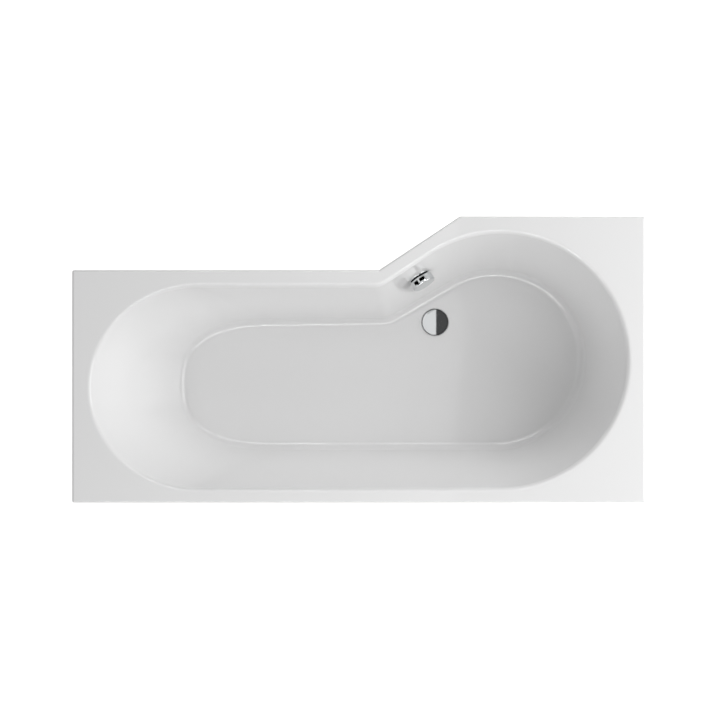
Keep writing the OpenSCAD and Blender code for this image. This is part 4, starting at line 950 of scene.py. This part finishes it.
clip_t = 2
clip_bend = 2
step_y, step_z = 5.5, 45
wall_hole_r = 3
wall_hole_z = 14
wall_hole_side = 11
for name in ("head", "foot"):
    low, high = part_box("wall_bracket_" + name)
    back_y, top_z, deep = clip_t / 2, (high.z - low.z) / mm - clip_t / 2, (high.y - low.y) / mm
    path = [(back_y, 0), (back_y, step_z), (step_y, step_z), (step_y, top_z), (deep, top_z)]
    place = axes((0, 1, 0), (0, 0, 1), (1, 0, 0), low)
    clip = folded("wall_bracket_" + name + "_folded", path, clip_t, clip_bend, high.x - low.x, place)
    drilled(clip, high.z)
    for side in (-wall_hole_side, wall_hole_side):
        place = Matrix.Translation(((low.x + high.x) / 2 + side * mm, low.y, low.z + wall_hole_z * mm))
        cut(clip, spun("drill", rod(wall_hole_r, -6, 6), place @ upright, 32))
    fit(clip, "root", "galvanised", galvanised, "wall_bracket_" + name)

# ---- Overflow ----------------------------------------------------------------------------------
# A chromed ring inside the bath screws into a plastic body behind the wall and squeezes a rubber seal
# between them. Its spider carries the knob's steel spindle, whose crank pulls the cable.


def carried(material, *names):
    """Gives CAD nodes that keep their own shape a finish."""
    for name in names:
        own = frame["nodes"][name]
        for place in own.material_slots:
            place.material = material


def spider(ring, outline, arm, turns, place, bore):
    """Welds a hub into a ring, on arms at given turns in degrees, and reams it for what slides in it."""
    hub = spun("hub", outline, place, 48)
    for turn in turns:
        weld(hub, joined("arm", [(arm, place @ Matrix.Rotation(math.radians(turn), 4, "Z"))]))
    weld(ring, hub)
    cut(ring, spun("reamer", bore, place, 48))


# Chrome plate on polished brass or ABS: a mirror with a slight cold tint, hardly clouded by wiping
chrome, sockets = new_material("chrome_plate_polished", Metallic=1.0, Base_Color=srgb("D3D5D6"))
where = node(chrome, "TexCoord", out=3)
cloud = node(chrome, "TexNoise", {"Vector": where, "Scale": 1 / (14 * mm), "Detail": 4.0})
node(chrome, "MapRange", {"Value": cloud, "From Min": 0.35, "From Max": 0.65, "To Min": 0.03, "To Max": 0.07},
     to=[sockets["Roughness"]])

# Stainless rod and strip: bright drawn, with faint lines
stainless, sockets = new_material("stainless_steel_drawn", Metallic=1.0, Base_Color=srgb("B4B2AE"))
where = node(stainless, "TexCoord", out=3)
drawn = node(stainless, "TexNoise", {"Vector": where, "Scale": 1 / (1.2 * mm), "Detail": 2.0})
node(stainless, "MapRange", {"Value": drawn, "To Min": 0.22, "To Max": 0.36}, to=[sockets["Roughness"]])

# Rubber: black, dull and slightly dusty, as seals are cut or moulded
rubber, sockets = new_material("rubber_moulded_black", Roughness=0.78, IOR=1.52)
where = node(rubber, "TexCoord", out=3)
dust = node(rubber, "TexNoise", {"Vector": where, "Scale": 1 / (5 * mm), "Detail": 4.0})
node(rubber, "Mix", {"Factor": dust, 6: srgb("141416"), 7: srgb("232325")}, data_type="RGBA", out=2,
     to=[sockets["Base Color"]])

# White polypropylene: warm white, soft sheen, with the fine grain of a spark-eroded mould
plastic, sockets = new_material("polypropylene_moulded_white", Roughness=0.4, IOR=1.49)
where = node(plastic, "TexCoord", out=3)
flow = node(plastic, "TexNoise", {"Vector": where, "Scale": 1 / (40 * mm), "Detail": 2.0})
node(plastic, "Mix", {"Factor": flow, 6: srgb("E3E2DC"), 7: srgb("EDECE7")}, data_type="RGBA", out=2,
     to=[sockets["Base Color"]])
fine = node(plastic, "TexNoise", {"Vector": where, "Scale": 1 / (0.8 * mm), "Detail": 2.0})
node(plastic, "Bump", {"Height": fine, "Strength": 0.25, "Distance": 0.04 * mm}, to=[sockets["Normal"]])

# The knob: a die-cast drum, open at the back, with a boss for the spindle and a faintly domed face
knob_r = 34
knob_round = 2
knob_back, knob_front = 8, 28.6
knob_inside = 26.5
knob_crown = 0.4
spindle_r = 4
hub_r = 7
face_r = knob_r - knob_round
front_round = [(face_r + knob_round * math.cos(a), knob_front - knob_round + knob_round * math.sin(a))
               for a in np.radians(np.linspace(0, 90, 9))]
dome = [(face_r * (1 - k / 12), knob_front + knob_crown * (1 - (1 - k / 12) ** 2)) for k in range(1, 13)]
boss = [(0, knob_inside), (spindle_r, knob_inside), (spindle_r, 10), (hub_r - 0.3, 10), (hub_r, 10.3),
        (hub_r, knob_inside)]
drum = [(31.5, knob_inside), (31.5, knob_back + 0.4), (31.9, knob_back), (knob_r - 0.4, knob_back),
        (knob_r, knob_back + 0.4)]
knob = spun("overflow_knob_chromed", boss + drum + front_round + dome, at_overflow, 160)
fit(knob, "knob", "chrome", chrome, "overflow_knob")

# The ring: its edge is rounded, a threaded spigot goes through the wall, and three arms carry the hub
ring_r = 32
ring_t = 3
spigot_r, spigot_bore, spigot_len = 24.5, 21.5, 26
hub_h = 8
spindle_bore = 4.1
seat = -spot_depth
ring_front = seat + ring_t
ring = spun("overflow_ring_chromed", [
    (spigot_r, seat - spigot_len), (spigot_r, seat), (ring_r - 0.4, seat), (ring_r, seat + 0.4),
    (ring_r, seat + 1.6), (ring_r - 0.4, seat + 2.4), (ring_r - 1.4, ring_front),
    (spigot_bore + 0.9, ring_front), (spigot_bore, seat + 2.2), (spigot_bore, seat - spigot_len),
], at_overflow, 128)
hub_outline = [(0, seat - hub_h), (hub_r, seat - hub_h), (hub_r, seat + 2.4), (hub_r - 0.6, ring_front),
               (0, ring_front)]
arm = prism(oblong(3, 22.5, 2), seat - hub_h, seat - 2)
spider(ring, hub_outline, arm, range(0, 360, 120), at_overflow, rod(spindle_bore, -14, 8))
fit(ring, "root", "chrome", chrome, "overflow_ring")
carried(stainless, "knob_spindle")
carried(rubber, "overflow_seal")
carried(plastic, "overflow_body")

# ---- Overflow pipe -----------------------------------------------------------------------------
# Stiff white pipe pushed into a socket at each end. A union nut at each joint squeezes a rubber ring
# round the pipe, and below it a moulded bend turns the water into the side of the waste.


def laid(origin, direction):
    """The place at a point, with its own Z along a direction."""
    return Matrix.Translation(origin) @ Vector(direction).to_track_quat("Z", "Y").to_matrix().to_4x4()


def ribbed(low, high, count, width):
    """A radius with upright ribs, all the same width, as on a nut that is tightened by hand."""
    def radius(a):
        pitch = 2 * math.pi / count
        off = abs((a + pitch / 2) % pitch - pitch / 2) * high
        return low + (high - low) * min(max((width / 2 + 0.4 - off) / 0.8, 0), 1)
    return radius


def less(radius, amount):
    return lambda a: radius(a) - amount


room = 0.1              # round a pipe and its thread


def union_nut(name, node_name, r_thread, r_pipe, place):
    """A hand-tight union nut: twelve ribs, a lip round the pipe at z = 0 and the thread above it."""
    grip = ribbed(r_thread + 3, r_thread + 4.5, 12, 4)
    outline = [(r_pipe + room, 0), (less(grip, 0.7), 0), (grip, 0.7), (grip, 15.3), (less(grip, 0.7), 16),
               (r_thread + 0.7, 16), (r_thread + room, 15.4), (r_thread + room, 4), (r_pipe + room, 4)]
    fit(spun(name, outline, place, 240), "root", "white_plastic", plastic, node_name)


pipe_r, pipe_bore = 16, 13.8
trim = 0.6
socket_r = 19.5
pipe_low, pipe_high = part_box("overflow_pipe")
pipe_len = (pipe_high.z - pipe_low.z) / mm
pipe = spun("overflow_pipe_extruded", [
    (pipe_bore, trim), (pipe_bore + trim, 0), (pipe_r - trim, 0), (pipe_r, trim),
    (pipe_r, pipe_len - trim), (pipe_r - trim, pipe_len),
    (pipe_bore + trim, pipe_len), (pipe_bore, pipe_len - trim),
], Matrix.Translation((pipe_c.x, pipe_c.y, pipe_low.z)))
fit(pipe, "root", "white_plastic", plastic, "overflow_pipe")
for end, lip_corner, way in (("top", 0, 1), ("bottom", 1, -1)):
    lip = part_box("overflow_nut_" + end)[lip_corner].z
    union_nut("overflow_union_nut_" + end, "overflow_nut_" + end, socket_r, pipe_r,
              laid((pipe_c.x, pipe_c.y, lip), (0, 0, way)))
branch = Vector((math.cos(branch_turn), math.sin(branch_turn), 0))
branch_lip = middle(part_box("branch_nut")) + branch * 8 * mm
union_nut("branch_union_nut", "branch_nut", socket_r, pipe_r, laid(branch_lip, -branch))
carried(plastic, "overflow_bend")
carried(rubber, "pipe_seal_top", "pipe_seal_bottom", "branch_seal")

# ---- Bowden cable ------------------------------------------------------------------------------
# A steel wire in a black plastic sheath, held in a gland on the overflow and one on the waste. The
# spindle's crank pulls the wire, and the wire swings the lever under the plug.

gland_back, gland_side, gland_down = 38, 27, 28
waste_gland_out, waste_gland_down = 33, 50
sheath_r, sheath_bore = 2.5, 1.1
cable_out = Vector((-branch.y, branch.x, 0))
cable_from = (overflow_p - overflow_n * gland_back * mm - overflow_side * gland_side * mm
              - Vector((0, 0, gland_down * mm)))
cable_to = Vector((*waste_c, floor_z - waste_gland_down * mm)) + cable_out * waste_gland_out * mm
cable_drop = Vector((0, 0, 0.855 * (cable_from.z - cable_to.z)))
cable_bow = [cable_from, cable_from - cable_drop, cable_to + cable_out * 95 * mm, cable_to]


def bezier(ends, t):
    """The point at t on the curve between the first and last of four points, drawn by the other two."""
    weights = ((1 - t) ** 3, 3 * t * (1 - t) ** 2, 3 * t * t * (1 - t), t ** 3)
    return sum((p * w for p, w in zip(ends, weights)), Vector())


def tube(name, ends, r, bore, steps, sides):
    """A hollow tube along a Bezier curve, with flat ends."""
    path = [bezier(ends, k / steps) for k in range(steps + 1)]
    flat = (ends[3] - ends[0]).cross(Vector((0, 0, 1))).normalized()
    rings = []
    for k in range(steps + 1):
        along = (path[min(k + 1, steps)] - path[max(k - 1, 0)]).normalized()
        if k in (0, steps):
            along = (ends[1] - ends[0] if k == 0 else ends[3] - ends[2]).normalized()
        n = along.cross(flat).normalized()
        rings.append((path[k], n, along.cross(n)))
    turns = [2 * math.pi * i / sides for i in range(sides)]
    rows = [[p + (n * math.cos(a) + b * math.sin(a)) * reach for a in turns]
            for reach, run in ((r, rings), (bore, rings[::-1])) for p, n, b in run]
    return skin(name, rows, 50)


# Extruded PVC: black and slightly glossy, a little wavy along its length
pvc, sockets = new_material("pvc_extruded_black", Base_Color=srgb("18181A"), Roughness=0.32, IOR=1.53)
where = node(pvc, "TexCoord", out=3)
ripple = node(pvc, "TexNoise", {"Vector": where, "Scale": 1 / (3 * mm)})
node(pvc, "Bump", {"Height": ripple, "Strength": 0.3, "Distance": 0.05 * mm}, to=[sockets["Normal"]])
sheath = tube("cable_sheath_extruded", cable_bow, sheath_r * mm, sheath_bore * mm, 96, 20)
fit(sheath, "root", "cable_sheath", pvc, "cable_sheath")
carried(stainless, "cable_wire")

# ---- Waste and pop-up plug ---------------------------------------------------------------------
# A chromed brass flange screws down into the plastic waste, with rubber seals above and below the
# bath's floor. The plug's domed cover rides on a stem that slides in the flange's hub.

tail_r, tail_bore = 26, 23.5
flange_r = waste_flange_r / mm
stem_r, stem_bore = 4, 4.1
at_plug = Matrix.Translation((*waste_c, floor_z))
flange = spun("waste_flange_chromed", [
    (tail_bore, -24), (tail_r, -24), (tail_r, -3), (flange_r - 0.4, -3), (flange_r, -2.6), (flange_r, -1.6),
    (flange_r - 0.6, -0.8), (36.2, -0.5), (29.5, -0.5), (26.5, -1.2), (24.4, -2.8), (tail_bore, -5),
], at_plug, 160)
hub_outline = [(0, -20), (hub_r, -20), (hub_r, -7.6), (hub_r - 0.6, -7), (0, -7)]
arm = prism(oblong(3, 24.5, 1.5), -20, -13)
spider(flange, hub_outline, arm, range(45, 360, 90), at_plug, rod(stem_bore, -22, 0))
fit(flange, "root", "chrome", chrome, "waste_flange")

# The cover: a rounded rim, a dome that rises a little, and a boss for the stem
cover_r = 36.5
cover_edge, cover_rise = 2.4, 2.2
cover_lift = 0.8
dome_r = (cover_r ** 2 + cover_rise ** 2) / (2 * cover_rise)
dome = [(r, cover_edge + math.sqrt(dome_r ** 2 - r * r) - (dome_r - cover_rise))
        for r in cover_r * (1 - np.linspace(0.012, 1, 40))]
boss = [(0, 0.2), (stem_r, 0.2), (stem_r, -4), (hub_r - 0.4, -4), (hub_r, -3.6), (hub_r, 0)]
rim = [(35.6, 0), (36.2, 0.15), (cover_r, 0.6), (cover_r, 2.0)]
place = at_plug @ Matrix.Translation((0, 0, cover_lift * mm))
cover = spun("plug_cover_chromed", boss + rim + dome, place, 160)
fit(cover, "plug", "chrome", chrome, "plug_cover")
carried(stainless, "plug_stem", "lift_lever", "lever_pin")
carried(rubber, "plug_seal", "waste_top_seal", "waste_bottom_seal")
carried(plastic, "waste_body")

# ---- Trap --------------------------------------------------------------------------------------
# A shallow white trap hangs from the waste by its nut. It has a cleaning plug at its lowest point and
# a union nut at its outlet, where the house's waste pipe is pushed in.

grip = ribbed(28.5, 30.5, 12, 5)
outline = [(21.1, 0), (less(grip, 0.8), 0), (grip, 0.8), (grip, 21.2), (less(grip, 0.8), 22), (24.3, 22),
           (23.6, 21.3), (23.6, 3.5), (21.1, 3.5)]
place = laid((*waste_c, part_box("trap_nut")[0].z), (0, 0, 1))
fit(spun("trap_union_nut", outline, place, 240), "root", "white_plastic", plastic, "trap_nut")

grip = ribbed(13.3, 14, 24, 1.6)
outline = [(0, 0), (less(grip, 0.8), 0), (grip, 0.8), (grip, 9.5), (11.1, 9.5), (11.1, 3), (0, 3)]
place = laid(underside(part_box("cleaning_plug")), (0, 0, 1))
fit(spun("trap_cleaning_plug", outline, place, 240), "root", "white_plastic", plastic, "cleaning_plug")

outlet_r, outlet_thread_r = 20, 23.5
low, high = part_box("trap_outlet_nut")
union_nut("trap_outlet_union_nut", "trap_outlet_nut", outlet_thread_r, outlet_r,
          laid((waste_c[0], low.y, (low.z + high.z) / 2), (0, 1, 0)))
carried(plastic, "trap_body")
carried(rubber, "trap_washer", "trap_outlet_seal")

# ---- Studio ------------------------------------------------------------------------------------
# A white floor seen from straight above, as in the photo. Soft lamps stand at the shower end and on
# both sides of it, and cards that only mirror-like surfaces see shape the chrome and the gloss lines.

scene = bpy.context.scene
camera = bpy.data.objects.new("camera", bpy.data.cameras.new("camera"))
camera.data.sensor_width = 36
camera.data.lens = 193.5
camera.data.clip_end = 100
camera.location = (0.0039, -0.0013, rim_z + 10.8)
scene.collection.objects.link(camera)
scene.camera = camera


def lamp(name, place, size, power, mirrored=True):
    """A soft lamp aimed at the middle of the bowl. Unless mirrored, glossy surfaces don't show it."""
    light = bpy.data.lights.new(name, "AREA")
    light.shape = "RECTANGLE"
    light.size, light.size_y = size
    light.energy = power
    made = bpy.data.objects.new(name, light)
    scene.collection.objects.link(made)
    made.location = place
    made.rotation_euler = (Vector((0, 0, 0.3)) - Vector(place)).to_track_quat("-Z", "Y").to_euler()
    made.visible_camera = False
    made.visible_glossy = mirrored


lamp("lamp_foot", (3.4, -0.3, 2.8), (2.4, 2.4), 15.7)
lamp("lamp_foot_low", (3.6, -0.2, 1.5), (2.4, 1.6), 12.5)
lamp("lamp_front", (2.4, 2.6, 2.6), (2.4, 2.0), 42, False)
lamp("lamp_wall", (0.2, -1.8, 1.7), (2.4, 1.0), 10.9, False)
lamp("lamp_near", (1.9, -0.2, 1.7), (1.2, 1.6), 8)

world = bpy.data.worlds.new("studio")
scene.world = world
world.use_nodes = True


def seen_directly(material):
    """1 for what the camera sees, straight on or by reflection, and 0 for the light that falls."""
    path = node(material, "LightPath").node.outputs
    mirrored = node(material, "Math", {0: path["Is Glossy Ray"], 1: path["Is Transmission Ray"]},
                    operation="MAXIMUM")
    return node(material, "Math", {0: path["Is Camera Ray"], 1: mirrored}, operation="MAXIMUM")


sky = world.node_tree.nodes["Background"].inputs
sky["Color"].default_value = (1, 1, 1, 1)
node(world, "MapRange", {"Value": seen_directly(world), "To Min": 0.45, "To Max": 1.0},
     to=[sky["Strength"]])

paper, sockets = new_material("studio_paper", Base_Color=srgb("F4F4F4"), Roughness=0.9)
node(paper, "Math", {0: seen_directly(paper), 1: 0.75}, operation="MULTIPLY",
     to=[sockets["Emission Strength"]])
sockets["Emission Color"].default_value = (1, 1, 1, 1)
floor = mesh_piece("studio_floor", [(-12, -12, 0), (12, -12, 0), (12, 12, 0), (-12, 12, 0)], [(0, 1, 2, 3)])
floor.data.materials.append(paper)
floor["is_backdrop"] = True


def card(name, light, *quads, one_sided=False):
    """A card that gives off a plain amount of light and only shows where the camera sees its first
    reflection. A one-sided card can't be seen from behind."""
    look, inputs = new_material(name + "_paper", Base_Color=srgb("000000"), Specular_IOR_Level=0.0)
    inputs["Emission Color"].default_value = (1, 1, 1, 1)
    bounces = node(look, "LightPath").node.outputs["Ray Depth"]
    first = node(look, "Math", {0: bounces, 1: 1.5}, operation="LESS_THAN")
    node(look, "Math", {0: first, 1: light}, operation="MULTIPLY", to=[inputs["Emission Strength"]])
    if one_sided:
        reverse = node(look, "NewGeometry").node.outputs["Backfacing"]
        node(look, "Math", {0: 1.0, 1: reverse}, operation="SUBTRACT", to=[inputs["Alpha"]])
    points = [p for quad in quads for p in quad]
    mesh = bpy.data.meshes.new(name)
    mesh.from_pydata(points, [], [range(4 * k, 4 * k + 4) for k in range(len(quads))])
    mesh.materials.append(look)
    made = bpy.data.objects.new(name, mesh)
    scene.collection.objects.link(made)
    made.visible_camera = made.visible_diffuse = made.visible_shadow = made.visible_transmission = False
    made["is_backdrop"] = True


# A dark card overhead gives the plug's cover its dark half, and a black one stands far behind the knob
card("card_over_drain", 0.09,
     [(0.345, -1.6, 3.16), (2.2, -1.6, 3.16), (2.2, 1.8, 3.16), (0.345, 1.8, 3.16)])
card("card_behind_knob", 0.0, [(-4.7, -1.1, 0), (2.1, 4.9, 0), (2.1, 4.9, 4.7), (-4.7, -1.1, 4.7)])


def beside_knob(across, up, out):
    """A point in millimetres from the overflow's centre: along the wall, up it and out from it."""
    return at_overflow @ (Vector((-up, across, out)) * mm)


def flag(turn, reach):
    """Where light from above, mirrored by the knob's side at a turn from its top, has gone that far."""
    a = math.radians(turn)
    return beside_knob(knob_r * math.sin(a) + reach * math.sin(2 * a),
                       knob_r * math.cos(a) + reach * math.cos(2 * a), 6)


# The knob's side mirrors the wall behind it: black flags there give the dark patches of the photo. A
# grey shelf under the knob keeps the drain out of its face.
flags = []
for a, b in ((-43, -31), (-31, -19), (-10, 4), (4, 18)):
    flags.append([flag(a, 30), flag(b, 30), flag(b, 100), flag(a, 100)])
card("flags_behind_knob", 0.0, *flags, one_sided=True)
shelf = [beside_knob(across, -40, out) for across, out in ((-36, 29.5), (36, 29.5), (36, 50), (-36, 50))]
card("shelf_under_knob", 0.68, shelf)


def strip(heading, tilt, length, width):
    """A level strip 3.6 m from the bowl's middle, at a heading from +X and a tilt from straight up."""
    a, t = math.radians(heading), math.radians(tilt)
    out = Vector((math.cos(a) * math.sin(t), math.sin(a) * math.sin(t), math.cos(t)))
    along = Vector((-math.sin(a), math.cos(a), 0))
    centre, across = Vector((0, 0, 0.35)) + out * 3.6, along.cross(out) * width / 2
    return [centre + along * (s * length / 2) + across * k for s, k in ((-1, -1), (1, -1), (1, 1), (-1, 1))]


# Bright strips draw the fine gloss lines along the bowl's edge and round its floor
card("strip_wall", 10, strip(-90, 35, 5, 0.45))
card("strip_front", 10, strip(80, 35, 3, 0.4))
card("strip_foot", 10, strip(20, 46, 1.2, 0.2))

# A low black band round the plug's cover keeps the strips off its rim, which shows as a thin dark ring
band_r = 39
band_low, band_high = 1, 4.5
band_steps = 36


def on_band(k, z):
    a = math.radians(360 / band_steps * k)
    return at_plug @ (Vector((band_r * math.cos(a), band_r * math.sin(a), z)) * mm)


band = [[on_band(k, band_low), on_band(k + 1, band_low), on_band(k + 1, band_high), on_band(k, band_high)]
        for k in range(band_steps)]
card("band_round_cover", 0.0, *band)

scene.view_settings.view_transform = "Standard"

low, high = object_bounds()
